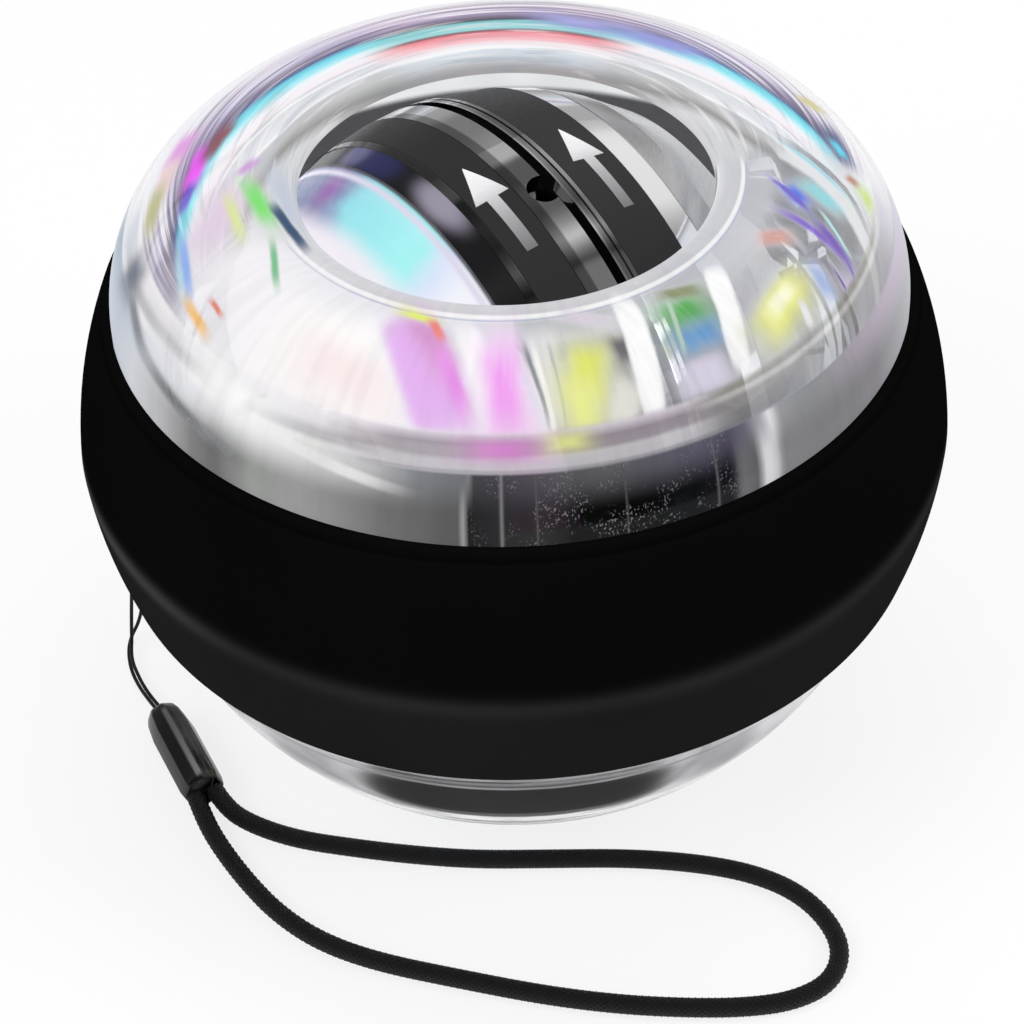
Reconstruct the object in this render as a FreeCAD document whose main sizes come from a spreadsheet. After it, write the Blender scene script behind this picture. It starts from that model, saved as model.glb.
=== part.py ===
import FreeCAD, Part
import math
import os
import re

import Sketcher
from FreeCAD import Placement, Rotation, Vector

# Gyroscopic wrist ball: a clear two-part ball with a black grip band round it, a metal rotor on an
# axle whose tips roll in a groove inside the ball, a turning carrier ring that holds the axle, a
# wind-up starter spring, and a wrist strap. Millimetres, +Z up, origin on the surface under the
# middle of the foot. Heights inside the ball are counted from the middle of the groove.

doc = FreeCAD.newDocument("WristBall")
sheet = doc.addObject("Spreadsheet::Sheet", "Sizes")

SIZES = {
    # ball as a whole
    "groove_height": 34.8,
    "shell_radius": 32.5,
    "shell_wall": 2.2,
    # lower shell
    "foot_radius": 14.0,
    "foot_wall": 2.4,
    "dome_arc_bulge": 0.4,
    "rim_bulge": 0.7,
    "rim_drop": 11.0,
    "lap_depth": 2.5,
    "lap_wall": 1.1,
    "seat_gap": 0.05,
    # groove for the axle tips
    "groove_half_height": 1.3,
    "groove_depth": 2.1,
    "flange_thickness": 2.2,
    # upper shell
    "shoulder_drop": 13.5,
    "shoulder_arc_radius": 11.2,
    "shoulder_arc_angle": 60.0,
    "crown_arc_radius": 9.8,
    "crease_reach": 2.3,
    "crease_drop": 2.95,
    "opening_reach": 4.7,
    "lip_radius": 1.45,
    "lip_drop": 3.8,
    "lip_underside_drop": 5.25,
    "lip_underside_reach": 3.0,
    # strap lug on the lower shell
    "lug_azimuth": 168.0,
    "lug_overhang": 2.2,
    "lug_root_depth": 2.1,
    "lug_drop": 13.8,
    "lug_radius": 1.7,
    "lug_hole_radius": 0.8,
    "lug_thickness": 1.6,
    # grip band
    "belly_drop": 1.2,
    "belly_bulge": 4.0,
    "band_low_bulge": 2.3,
    "band_top_height": 12.05,
    "band_top_bulge": 1.1,
    "band_arc_radius": 40.0,
    "band_lip_height": 1.1,
    "band_lip_step": 0.35,
    "band_edge_round": 0.5,
    # carrier ring
    "axle_azimuth": 34.0,
    "carrier_wall": 1.7,
    "carrier_gap": 0.3,
    "carrier_half_height": 5.0,
    "rib_half_height": 0.9,
    "rib_gap": 0.4,
    "holder_gap": 0.8,
    "holder_thickness": 2.0,
    "holder_half_width": 6.5,
    "holder_top": 7.0,
    "holder_bottom": 9.2,
    "holder_round": 2.5,
    "ear_inset": 0.4,
    "ear_thickness": 2.2,
    "ear_drop": 2.2,
    "ear_notch_radius": 5.0,
    "web_thickness": 1.6,
    "tip_slot_gap": 0.3,
    # axle and its bushes
    "axle_radius": 1.5,
    "axle_shoulder_gap": 0.8,
    "tip_radius": 1.1,
    "tip_end_gap": 0.4,
    "tip_round": 0.4,
    "running_gap": 0.08,
    "bush_radius": 2.6,
    "bush_flange_radius": 3.6,
    "bush_flange_thickness": 0.6,
    "press_gap": 0.02,
    "washer_radius": 2.8,
    "washer_thickness": 0.6,
    # rotor outline, counted along the axle from the middle of the ball
    "rotor_gap": 1.0,
    "rotor_reach": 16.2,
    "line_slot_left": 0.1,
    "line_slot_right": 0.75,
    "line_slot_depth": 1.6,
    "left_band_start": 2.65,
    "left_band_end": 6.3,
    "left_half_end": 7.0,
    "right_band_start": 1.9,
    "right_band_end": 7.0,
    "right_half_end": 9.4,
    "facet_end": 12.4,
    "band_inlay_depth": 0.8,
    "inlay_gap": 0.05,
    "rim_line_depth": 0.35,
    "rim_line_width": 0.2,
    "string_hole_radius": 1.35,
    "string_hole_depth": 2.6,
    "string_hole_offset": 0.6,
    "string_hole_tilt": 14.0,
    # light module in the left half
    "light_bay_wall": 2.8,
    "light_bay_floor": 4.6,
    "bezel_end": 9.1,
    "bezel_wall": 1.9,
    "lens_wall": 1.6,
    "light_hub_radius": 2.6,
    "board_gap": 0.5,
    "board_thickness": 1.0,
    "diode_radius": 1.3,
    "diode_height": 1.2,
    "diode_inset": 4.9,
    "diode_count": 8,
    "coil_radius": 2.7,
    "coil_height": 5.0,
    "coil_ring_radius": 8.3,
    "coil_count": 3,
    "coil_core_radius": 1.2,
    "coil_core_height": 6.0,
    "chip_length": 4.0,
    "chip_width": 3.0,
    "chip_height": 1.0,
    "chip_gap": 0.5,
    "magnet_radius": 1.6,
    "magnet_height": 1.6,
    "magnet_spread": 4.7,
    "magnet_drop": 6.8,
    # starter spring in the right half
    "spring_bay_wall": 11.3,
    "bay_floor": 5.8,
    "barrel_side_gap": 0.7,
    "barrel_wall": 0.8,
    "barrel_start": 6.9,
    "barrel_gap": 0.6,
    "barrel_boss_radius": 6.4,
    "cover_thickness": 0.7,
    "cover_bore_gap": 0.4,
    "barrel_floor": 1.0,
    "spring_strip": 0.35,
    "spring_end_gap": 0.95,
    "spring_edge_gap": 0.5,
    "spring_turns": 8,
    "arbor_radius": 3.1,
    "arbor_bore_gap": 0.15,
    "arbor_end_gap": 0.2,
    "clutch_radius": 7.0,
    "clutch_floor": 1.3,
    "clutch_length": 4.3,
    "clutch_ring_wall": 1.6,
    "journal_radius": 4.0,
    "roller_radius": 0.62,
    "roller_count": 8,
    "roller_margin": 0.4,
    # screws
    "rotor_screw_radius": 1.2,
    "rotor_screw_count": 3,
    "rotor_screw_head_radius": 2.0,
    "rotor_screw_head_height": 1.4,
    "rotor_screw_sink": 0.3,
    "rotor_screw_depth": 4.0,
    "screw_gap": 0.05,
    "barrel_screw_radius": 0.8,
    "barrel_screw_head_radius": 1.3,
    "barrel_screw_head_height": 0.7,
    "barrel_screw_spread": 3.5,
    "barrel_screw_rise": 3.9,
    # wrist strap
    "loop_cord_radius": 0.17,
    "wrist_cord_radius": 0.85,
    "bead_radius": 2.0,
    "bead_top_radius": 1.35,
    "bead_mouth_radius": 1.85,
    "bead_taper_length": 3.2,
    "bead_mouth_length": 1.0,
    "bead_facets": 8,
    # overrun of every cut
    "overrun": 1.0,
}

for row, (alias, number) in enumerate(SIZES.items(), start=1):
    sheet.set("A%d" % row, alias.replace("_", " "))
    sheet.set("B%d" % row, str(number))
    sheet.setAlias("B%d" % row, alias)
doc.recompute()


def ref(text):
    """Turns size names in a formula into references to the sheet."""
    return re.sub(r"[a-z][a-z_]+", lambda word: "Sizes." + word.group() if word.group() in SIZES
                  else word.group(), text)


def size(text):
    """The number that a formula of size names gives."""
    return float(sheet.evalExpression(ref(text)))


def origin(body, role):
    return next(item for item in body.Origin.OriginFeatures if item.Role == role)


def new_body(label, turned=False):
    """A body on the ball's middle; turned bodies have their own X along the axle."""
    body = doc.addObject("PartDesign::Body", label)
    body.Label = label
    body.AllowCompound = True
    body.Placement = Placement(Vector(), Rotation(Vector(0, 0, 1), 1))
    body.setExpression("Placement.Base.z", ref("groove_height"))
    body.setExpression("Placement.Rotation.Angle", ref(turned) if turned else "0")
    return body


def new_sketch(body, role, shift="0", tilt_axis=None, tilt="0"):
    sketch = body.newObject("Sketcher::SketchObject", body.Label + "_sketch")
    sketch.AttachmentSupport = [(origin(body, role), "")]
    sketch.MapMode = "FlatFace"
    if tilt_axis:
        turn = Rotation(tilt_axis, size(tilt))
        sketch.AttachmentOffset = Placement(turn.multVec(Vector(0, 0, size(shift))), turn)
        sketch.setExpression("AttachmentOffset.Rotation.Angle", ref(tilt))
        sketch.setExpression("AttachmentOffset.Base.y", ref("-(%s) * sin(%s * 1deg)" % (shift, tilt)))
        sketch.setExpression("AttachmentOffset.Base.z", ref("(%s) * cos(%s * 1deg)" % (shift, tilt)))
    elif shift != "0":
        sketch.setExpression("AttachmentOffset.Base.z", ref(shift))
    return sketch


def constrain(sketch, kind, places, formula):
    number = sketch.addConstraint(Sketcher.Constraint(kind, *places, size(formula)))
    sketch.setExpression("Constraints[%d]" % number, ref(formula))


def place_point(sketch, edge, point, across, up):
    """Holds a point at two distances from the origin, or on an axis where a distance is 0."""
    for kind, axis, formula in (("DistanceX", -2, across), ("DistanceY", -1, up)):
        if formula == "0":
            sketch.addConstraint(Sketcher.Constraint("PointOnObject", edge, point, axis))
        else:
            constrain(sketch, kind, (-1, 1, edge, point), formula)


def draw_outline(sketch, corners):
    """A closed outline. A corner is (across, up) or (across, up, radius), all formulas: with a
    radius, the edge to the next corner is an arc, to the right of its chord if the radius is
    written with a plus and to the left if it is written with a minus."""
    places = [Vector(size(corner[0]), size(corner[1]), 0) for corner in corners]
    ends = []
    for index, corner in enumerate(corners):
        first = places[index]
        last = places[(index + 1) % len(places)]
        if len(corner) == 2:
            edge = sketch.addGeometry(Part.LineSegment(first, last), False)
            ends.append((edge, 1, 2))
            continue
        radius = size(corner[2])
        start, end = (first, last) if radius > 0 else (last, first)
        chord = end - start
        square = Vector(-chord.y, chord.x, 0).normalize()
        rise = math.sqrt(max(radius ** 2 - (chord.Length / 2) ** 2, 0))
        middle = (start + end) / 2 + square * rise
        circle = Part.Circle(middle, Vector(0, 0, 1), abs(radius))
        start_angle, end_angle = (math.atan2((point - middle).y, (point - middle).x)
                                  for point in (start, end))
        if end_angle < start_angle:
            end_angle += 2 * math.pi
        edge = sketch.addGeometry(Part.ArcOfCircle(circle, start_angle, end_angle), False)
        ends.append((edge, 1, 2) if radius > 0 else (edge, 2, 1))
        constrain(sketch, "Radius", (edge,), "abs(%s)" % corner[2])
    for index, (edge, start, end) in enumerate(ends):
        following = ends[(index + 1) % len(ends)]
        sketch.addConstraint(Sketcher.Constraint("Coincident", edge, end, following[0], following[1]))
        place_point(sketch, edge, start, corners[index][0], corners[index][1])


def draw_circle(sketch, across, up, radius):
    middle = Vector(size(across), size(up), 0)
    circle = sketch.addGeometry(Part.Circle(middle, Vector(0, 0, 1), size(radius)), False)
    place_point(sketch, circle, 3, across, up)
    constrain(sketch, "Radius", (circle,), radius)


def revolve(body, corners, axis="V_Axis", kind="PartDesign::Revolution"):
    sketch = new_sketch(body, "XZ_Plane")
    draw_outline(sketch, corners)
    feature = body.newObject(kind, body.Label + "_turning")
    feature.Profile = sketch
    feature.ReferenceAxis = (sketch, [axis])
    feature.Angle = 360
    body.Tip = feature
    return feature


def pad(body, sketch, length, both_ways=False, back=False):
    feature = body.newObject("PartDesign::Pad", body.Label + "_pad")
    feature.Profile = sketch
    feature.setExpression("Length", ref(length))
    feature.Midplane = both_ways
    feature.Reversed = back
    body.Tip = feature
    return feature


def cut(body, sketch, depth, ahead=False, both_ways=False):
    """A pocket into the side that the sketch faces away from, or ahead of it."""
    doc.recompute()
    before = body.Shape.Volume
    feature = body.newObject("PartDesign::Pocket", body.Label + "_cut")
    feature.Profile = sketch
    feature.setExpression("Length", ref(depth))
    feature.Reversed = ahead
    feature.Midplane = both_ways
    body.Tip = feature
    doc.recompute()
    if body.Shape.Volume >= before:
        raise RuntimeError("A cut in %s removes nothing" % body.Label)
    return feature


def repeat_round(body, feature, role, count):
    pattern = body.newObject("PartDesign::PolarPattern", body.Label + "_round")
    pattern.Originals = [feature]
    pattern.Axis = (origin(body, role), [""])
    pattern.Angle = 360
    pattern.setExpression("Occurrences", ref(count))
    body.Tip = pattern
    return pattern


def turned_piece(label, corners):
    """A piece of the rotor or carrier that is round about the axle."""
    body = new_body(label, "axle_azimuth")
    revolve(body, corners, "H_Axis")
    return body


def peg_ring(label, start, length, radius, ring_radius, count, bore=None):
    """Round pegs along the axle, spaced evenly about it."""
    body = new_body(label, "axle_azimuth")
    sketch = new_sketch(body, "YZ_Plane", start)
    draw_circle(sketch, "0", ring_radius, radius)
    if bore:
        draw_circle(sketch, "0", ring_radius, bore)
    repeat_round(body, pad(body, sketch, length), "X_Axis", count)
    return body


def drill_ring(body, start, depth, radius, ring_radius, count):
    """Round holes along the axle, from start towards its minus end."""
    sketch = new_sketch(body, "YZ_Plane", start)
    draw_circle(sketch, "0", ring_radius, radius)
    repeat_round(body, cut(body, sketch, depth), "X_Axis", count)


# Radii that follow one another from the ball's wall inwards

INNER = "(shell_radius - shell_wall)"
GROOVE_MOUTH = "(shell_radius - shell_wall - groove_depth)"
CARRIER_RADIUS = "(" + GROOVE_MOUTH + " - carrier_gap)"
CARRIER_INNER = "(" + CARRIER_RADIUS + " - carrier_wall)"
ROTOR_RADIUS = "(" + CARRIER_INNER + " - rotor_gap)"


def on_ball(along, sink="0"):
    """Formula for the rotor's radius at a place along the axle."""
    return "sqrt(%s^2 - (%s)^2) - (%s)" % (ROTOR_RADIUS, along, sink)


LIGHT_BAY = "(" + on_ball("left_half_end", "light_bay_wall") + ")"
BOARD_RADIUS = "(" + LIGHT_BAY + " - board_gap)"
DIODE_RING = "(" + BOARD_RADIUS + " - diode_inset)"
SPRING_BAY = "(" + ROTOR_RADIUS + " - spring_bay_wall)"
BARREL_RADIUS = "(" + SPRING_BAY + " - barrel_side_gap)"
SCREW_RING = "((" + SPRING_BAY + " + " + on_ball("rotor_reach") + ") / 2)"


# Shells and grip band

TONGUE = "(shell_radius - lap_wall)"
FLANGE_TOP = "(groove_half_height + flange_thickness)"
CROWN_START = "shell_radius - shoulder_arc_radius"
SHOULDER_HEIGHT = "(" + ROTOR_RADIUS + " - shoulder_drop)"
DOME_ARC = "(shell_radius + dome_arc_bulge)"
LUG_ROOT = "shell_radius - lug_root_depth"
LUG_REACH = "shell_radius + lug_overhang"


def make_lower_shell():
    body = new_body("lower_shell", "lug_azimuth")
    revolve(body, [
        ("0", "-groove_height"),
        ("foot_radius", "-groove_height", DOME_ARC),
        ("shell_radius + rim_bulge", "-rim_drop"),
        ("shell_radius", "-rim_drop"),
        ("shell_radius", "-lap_depth"),
        (TONGUE, "-lap_depth"),
        (TONGUE, "0"),
        (INNER, "0"),
        (INNER, "-groove_half_height"),
        (GROOVE_MOUTH, "-groove_half_height"),
        (GROOVE_MOUTH, "-" + FLANGE_TOP),
        (INNER, "-" + FLANGE_TOP),
        (INNER, "-rim_drop", "-(" + DOME_ARC + " - shell_wall)"),
        ("foot_radius - foot_wall / 2", "foot_wall - groove_height"),
        ("0", "foot_wall - groove_height"),
    ])
    sketch = new_sketch(body, "XZ_Plane")
    draw_outline(sketch, [
        (LUG_ROOT, "-lug_drop - lug_radius"),
        (LUG_REACH, "-lug_drop - lug_radius", "lug_radius"),
        (LUG_REACH + " + lug_radius", "-lug_drop", "lug_radius"),
        (LUG_REACH, "-lug_drop + lug_radius"),
        (LUG_ROOT, "-lug_drop + lug_radius"),
    ])
    draw_circle(sketch, LUG_REACH, "-lug_drop", "lug_hole_radius")
    pad(body, sketch, "lug_thickness", both_ways=True)


def make_upper_shell():
    body = new_body("upper_shell")
    shoulder_across = "shell_radius - shoulder_arc_radius * (1 - cos(shoulder_arc_angle * 1deg))"
    shoulder_up = SHOULDER_HEIGHT + " + shoulder_arc_radius * sin(shoulder_arc_angle * 1deg)"
    revolve(body, [
        (TONGUE + " + seat_gap", "-lap_depth"),
        ("shell_radius", "-lap_depth"),
        ("shell_radius", SHOULDER_HEIGHT, "shoulder_arc_radius"),
        (shoulder_across, shoulder_up, "crown_arc_radius"),
        (CROWN_START + " - crease_reach", ROTOR_RADIUS + " - crease_drop", "lip_radius"),
        (CROWN_START + " - opening_reach", ROTOR_RADIUS + " - lip_drop", "lip_radius"),
        (CROWN_START + " - lip_underside_reach", ROTOR_RADIUS + " - lip_underside_drop"),
        (CROWN_START, SHOULDER_HEIGHT + " + shoulder_arc_radius - shell_wall",
         "-(shoulder_arc_radius - shell_wall)"),
        (INNER, SHOULDER_HEIGHT),
        (INNER, FLANGE_TOP),
        (GROOVE_MOUTH, FLANGE_TOP),
        (GROOVE_MOUTH, "groove_half_height"),
        (INNER, "groove_half_height"),
        (INNER, "0"),
        (TONGUE + " + seat_gap", "0"),
    ])


def make_grip_band():
    top_radius = "shell_radius + band_top_bulge"
    lip_radius = "(" + top_radius + " - band_lip_step)"
    body = new_body("grip_band")
    revolve(body, [
        ("shell_radius + seat_gap", "-rim_drop"),
        ("shell_radius + band_low_bulge - band_edge_round", "-rim_drop", "band_edge_round"),
        ("shell_radius + band_low_bulge", "-rim_drop + band_edge_round", "band_arc_radius"),
        ("shell_radius + belly_bulge", "-belly_drop", "band_arc_radius"),
        (top_radius, "band_top_height - band_lip_height"),
        (lip_radius, "band_top_height - band_lip_height"),
        (lip_radius, "band_top_height - band_edge_round", "band_edge_round"),
        (lip_radius + " - band_edge_round", "band_top_height"),
        ("shell_radius + seat_gap", "band_top_height"),
    ])


# Carrier ring with the axle's holders

HOLDER_START = "(rotor_reach + holder_gap)"
HOLDER_END = "(rotor_reach + holder_gap + holder_thickness)"


def slot_corners(half_width, depth):
    """A slot open at the bottom, round at the top, about the axle."""
    return [
        ("-" + half_width, "-" + depth),
        (half_width, "-" + depth),
        (half_width, "0", half_width),
        ("0", half_width, half_width),
        ("-" + half_width, "0"),
    ]


def make_carrier_ring():
    body = new_body("carrier_ring", "axle_azimuth")
    revolve(body, [
        (CARRIER_INNER, "-carrier_half_height"),
        (CARRIER_RADIUS, "-carrier_half_height"),
        (CARRIER_RADIUS, "-rib_half_height"),
        (INNER + " - rib_gap", "-rib_half_height"),
        (INNER + " - rib_gap", "rib_half_height"),
        (CARRIER_RADIUS, "rib_half_height"),
        (CARRIER_RADIUS, "carrier_half_height"),
        (CARRIER_INNER, "carrier_half_height"),
    ])
    round_start = "(holder_half_width - holder_round)"
    plate = new_sketch(body, "YZ_Plane", HOLDER_START)
    draw_outline(plate, [
        ("-holder_half_width", "-holder_bottom"),
        ("holder_half_width", "-holder_bottom"),
        ("holder_half_width", "holder_top - holder_round", "holder_round"),
        (round_start, "holder_top"),
        ("-" + round_start, "holder_top", "holder_round"),
        ("-holder_half_width", "holder_top - holder_round"),
    ])
    plate_pad = pad(body, plate, "holder_thickness")
    web_pads = []
    for side in ("-", ""):
        web = new_sketch(body, "YZ_Plane", HOLDER_END)
        inner_edge = side + "(holder_half_width - web_thickness)"
        outer_edge = side + "holder_half_width"
        draw_outline(web, [
            (inner_edge, "-carrier_half_height"),
            (outer_edge, "-carrier_half_height"),
            (outer_edge, "carrier_half_height"),
            (inner_edge, "carrier_half_height"),
        ])
        web_pads.append(pad(body, web, CARRIER_INNER + " - " + HOLDER_END))
    ear_base = "(" + FLANGE_TOP + " + rib_gap)"
    ear_top = "(" + SHOULDER_HEIGHT + " - ear_drop)"
    notch = "sqrt(ear_notch_radius^2 - %s^2)" % ear_base
    ear = new_sketch(body, "YZ_Plane", CARRIER_INNER + " + ear_inset")
    draw_outline(ear, [
        ("-holder_half_width", ear_base),
        ("-" + notch, ear_base, "-ear_notch_radius"),
        (notch, ear_base),
        ("holder_half_width", ear_base),
        ("holder_half_width", ear_top + " - holder_round", "holder_round"),
        (round_start, ear_top),
        ("-" + round_start, ear_top, "holder_round"),
        ("-holder_half_width", ear_top + " - holder_round"),
    ])
    ear_pad = pad(body, ear, "ear_thickness")
    mirror = body.newObject("PartDesign::Mirrored", "carrier_ring_mirror")
    mirror.Originals = [plate_pad, ear_pad] + web_pads
    mirror.MirrorPlane = (origin(body, "YZ_Plane"), [""])
    body.Tip = mirror
    for half_width, start, depth in (
            ("(bush_radius + press_gap)", HOLDER_END, "holder_thickness + overrun"),
            ("(tip_radius + tip_slot_gap)", INNER, INNER + " - " + CARRIER_INNER + " + overrun")):
        for side in ("", "-"):
            slot = new_sketch(body, "YZ_Plane", side + start)
            draw_outline(slot, slot_corners(half_width, "(holder_bottom + overrun)"))
            cut(body, slot, depth, ahead=side == "-")
    screws = new_sketch(body, "YZ_Plane", HOLDER_END)
    for side in ("-", ""):
        draw_circle(screws, side + "barrel_screw_spread", "barrel_screw_rise",
                    "barrel_screw_radius + screw_gap")
    cut(body, screws, "holder_thickness + overrun")


def make_axle_bush(side, sign):
    start = sign + "(" + HOLDER_START + " - seat_gap)"
    flange = sign + HOLDER_END
    end = sign + "(" + HOLDER_END + " + bush_flange_thickness)"
    bore = "axle_radius + running_gap"
    turned_piece("axle_bush_" + side, [
        (start, bore),
        (start, "bush_radius"),
        (flange, "bush_radius"),
        (flange, "bush_flange_radius"),
        (end, "bush_flange_radius"),
        (end, bore),
    ])


def make_generator_magnets():
    body = new_body("generator_magnets", "axle_azimuth")
    sketch = new_sketch(body, "YZ_Plane", "-" + HOLDER_END)
    for side in ("-", ""):
        draw_circle(sketch, side + "magnet_spread", "-magnet_drop", "magnet_radius")
    pad(body, sketch, "magnet_height", back=True)


# Starter spring: a barrel held by the right holder, its cover, strip spring and arbor

BARREL_END = "(" + HOLDER_START + " - barrel_gap)"
BARREL_FLOOR = "(" + BARREL_END + " - barrel_floor)"


def make_spring_barrel():
    body = turned_piece("spring_barrel", [
        ("barrel_start", BARREL_RADIUS + " - barrel_wall"),
        ("barrel_start", BARREL_RADIUS),
        (BARREL_END, BARREL_RADIUS),
        (BARREL_END, "barrel_boss_radius"),
        (HOLDER_START, "barrel_boss_radius"),
        (HOLDER_START, "bush_radius + cover_bore_gap"),
        (BARREL_FLOOR, "bush_radius + cover_bore_gap"),
        (BARREL_FLOOR, BARREL_RADIUS + " - barrel_wall"),
    ])
    screws = new_sketch(body, "YZ_Plane", HOLDER_START)
    for side in ("-", ""):
        draw_circle(screws, side + "barrel_screw_spread", "barrel_screw_rise",
                    "barrel_screw_radius + screw_gap")
    cut(body, screws, "barrel_gap + barrel_floor + overrun")


def make_barrel_cover():
    turned_piece("barrel_cover", [
        ("barrel_start - cover_thickness", "arbor_radius + cover_bore_gap"),
        ("barrel_start - cover_thickness", BARREL_RADIUS),
        ("barrel_start", BARREL_RADIUS),
        ("barrel_start", "arbor_radius + cover_bore_gap"),
    ])


def make_barrel_screws():
    body = new_body("barrel_screws", "axle_azimuth")
    parts = (
        (HOLDER_END, "barrel_screw_head_height", "barrel_screw_head_radius", False),
        (HOLDER_END, "holder_thickness + barrel_gap + barrel_floor", "barrel_screw_radius", True),
    )
    for start, length, radius, back in parts:
        sketch = new_sketch(body, "YZ_Plane", start)
        for side in ("-", ""):
            draw_circle(sketch, side + "barrel_screw_spread", "barrel_screw_rise", radius)
        pad(body, sketch, length, back=back)


def make_mainspring():
    """A flat strip wound in half turns whose centres change sides, so that they meet smoothly."""
    inner = size("arbor_radius + spring_edge_gap / 2")
    outer = size(BARREL_RADIUS + " - barrel_wall - spring_edge_gap / 2 - spring_strip")
    half_turns = int(2 * size("spring_turns"))
    step = (outer - inner) / half_turns
    strip = size("spring_strip")
    near_edges, far_edges = [], []
    for index in range(half_turns):
        side = 1 if index % 2 == 0 else -1
        middle = Vector(0, side * step / 2, 0)
        radius = inner + step * (index + 0.5)
        for edges, reach in ((near_edges, radius), (far_edges, radius + strip)):
            start = middle + Vector(0, -side * reach, 0)
            top = middle + Vector(0, 0, side * reach)
            end = middle + Vector(0, side * reach, 0)
            edges.append(Part.Arc(start, top, end).toShape())
    first = Part.makeLine(near_edges[0].Vertexes[0].Point, far_edges[0].Vertexes[0].Point)
    last = Part.makeLine(near_edges[-1].Vertexes[-1].Point, far_edges[-1].Vertexes[-1].Point)
    outline = Part.Wire(Part.__sortEdges__(near_edges + far_edges + [first, last]))
    strip_face = Part.Face(outline)
    spring = doc.addObject("Part::Feature", "mainspring")
    spring.Label = "mainspring"
    inside = size("barrel_start + spring_end_gap")
    width = size(BARREL_FLOOR + " - spring_end_gap") - inside
    spring.Shape = strip_face.extrude(Vector(width, 0, 0))
    turn = Rotation(Vector(0, 0, 1), size("axle_azimuth"))
    spring.Placement = Placement(turn.multVec(Vector(inside, 0, 0))
                                 + Vector(0, 0, size("groove_height")), turn)
    print("mainspring gap between turns %.2f" % (2 * step - strip))


def make_spring_arbor():
    bore = "axle_radius + arbor_bore_gap"
    start = "clutch_floor + running_gap"
    step = "bay_floor"
    end = BARREL_FLOOR + " - arbor_end_gap"
    turned_piece("spring_arbor", [
        (start, bore),
        (start, "journal_radius"),
        (step, "journal_radius"),
        (step, "arbor_radius"),
        (end, "arbor_radius"),
        (end, bore),
    ])


# Axle and rotor

def make_axle():
    reach = "(" + INNER + " - tip_end_gap)"
    shoulder = "(" + CARRIER_INNER + " - axle_shoulder_gap)"
    turned_piece("axle", [
        ("-" + reach, "0"),
        ("-" + reach, "tip_radius - tip_round"),
        ("-" + reach + " + tip_round", "tip_radius"),
        ("-" + shoulder, "tip_radius"),
        ("-" + shoulder, "axle_radius"),
        (shoulder, "axle_radius"),
        (shoulder, "tip_radius"),
        (reach + " - tip_round", "tip_radius"),
        (reach, "tip_radius - tip_round"),
        (reach, "0"),
    ])


def make_thrust_washer():
    near = "-(rotor_reach + press_gap)"
    far = "-(rotor_reach + press_gap + washer_thickness)"
    turned_piece("thrust_washer", [
        (near, "axle_radius + press_gap"),
        (near, "washer_radius"),
        (far, "washer_radius"),
        (far, "axle_radius + press_gap"),
    ])


SCREW_HOLE = "rotor_screw_radius + screw_gap"
SHAFT_BORE = "axle_radius + press_gap"


def drill_string_hole(body):
    """The hole on the middle slot that the starting string hooks into."""
    shift = ROTOR_RADIUS + " + overrun"
    sketch = new_sketch(body, "XY_Plane", shift, Vector(1, 0, 0), "string_hole_tilt")
    draw_circle(sketch, "-string_hole_offset", "0", "string_hole_radius")
    cut(body, sketch, "overrun + string_hole_depth")


def make_rotor_core():
    body = turned_piece("rotor_core", [
        ("-line_slot_left", SHAFT_BORE),
        ("-line_slot_left", ROTOR_RADIUS + " - line_slot_depth"),
        ("line_slot_right", ROTOR_RADIUS + " - line_slot_depth"),
        ("line_slot_right", SHAFT_BORE),
    ])
    drill_ring(body, "line_slot_right", "line_slot_right + line_slot_left", SCREW_HOLE,
               SCREW_RING, "rotor_screw_count")
    drill_string_hole(body)


def make_rotor_half_left():
    body = turned_piece("rotor_half_left", [
        ("-line_slot_left", SHAFT_BORE),
        ("-line_slot_left", on_ball("line_slot_left")),
        ("-left_band_start", on_ball("left_band_start")),
        ("-left_band_start", on_ball("left_band_start", "band_inlay_depth")),
        ("-left_band_end", on_ball("left_band_end", "band_inlay_depth")),
        ("-left_band_end", on_ball("left_band_end")),
        ("-left_half_end", on_ball("left_half_end")),
        ("-left_half_end", LIGHT_BAY),
        ("-light_bay_floor", LIGHT_BAY),
        ("-light_bay_floor", SHAFT_BORE),
    ])
    drill_ring(body, "-line_slot_left", "rotor_screw_depth", SCREW_HOLE,
               SCREW_RING, "rotor_screw_count")
    drill_string_hole(body)


def make_rotor_half_right():
    middle_line = "(right_band_start + line_slot_right) / 2"
    body = turned_piece("rotor_half_right", [
        ("line_slot_right", SHAFT_BORE),
        ("line_slot_right", on_ball("line_slot_right")),
        (middle_line, on_ball(middle_line)),
        (middle_line, on_ball(middle_line, "rim_line_depth")),
        (middle_line + " + rim_line_width", on_ball(middle_line, "rim_line_depth")),
        (middle_line + " + rim_line_width", on_ball(middle_line + " + rim_line_width")),
        ("right_band_start", on_ball("right_band_start")),
        ("right_band_start", on_ball("right_band_start", "band_inlay_depth")),
        ("right_band_end", on_ball("right_band_end", "band_inlay_depth")),
        ("right_band_end", on_ball("right_band_end")),
        ("right_half_end", on_ball("right_half_end")),
        ("right_half_end", SPRING_BAY),
        ("bay_floor", SPRING_BAY),
        ("bay_floor", "clutch_radius + press_gap"),
        ("clutch_floor", "clutch_radius + press_gap"),
        ("clutch_floor", SHAFT_BORE),
    ])
    drill_ring(body, "right_half_end", "right_half_end - line_slot_right", SCREW_HOLE,
               SCREW_RING, "rotor_screw_count")


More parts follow.
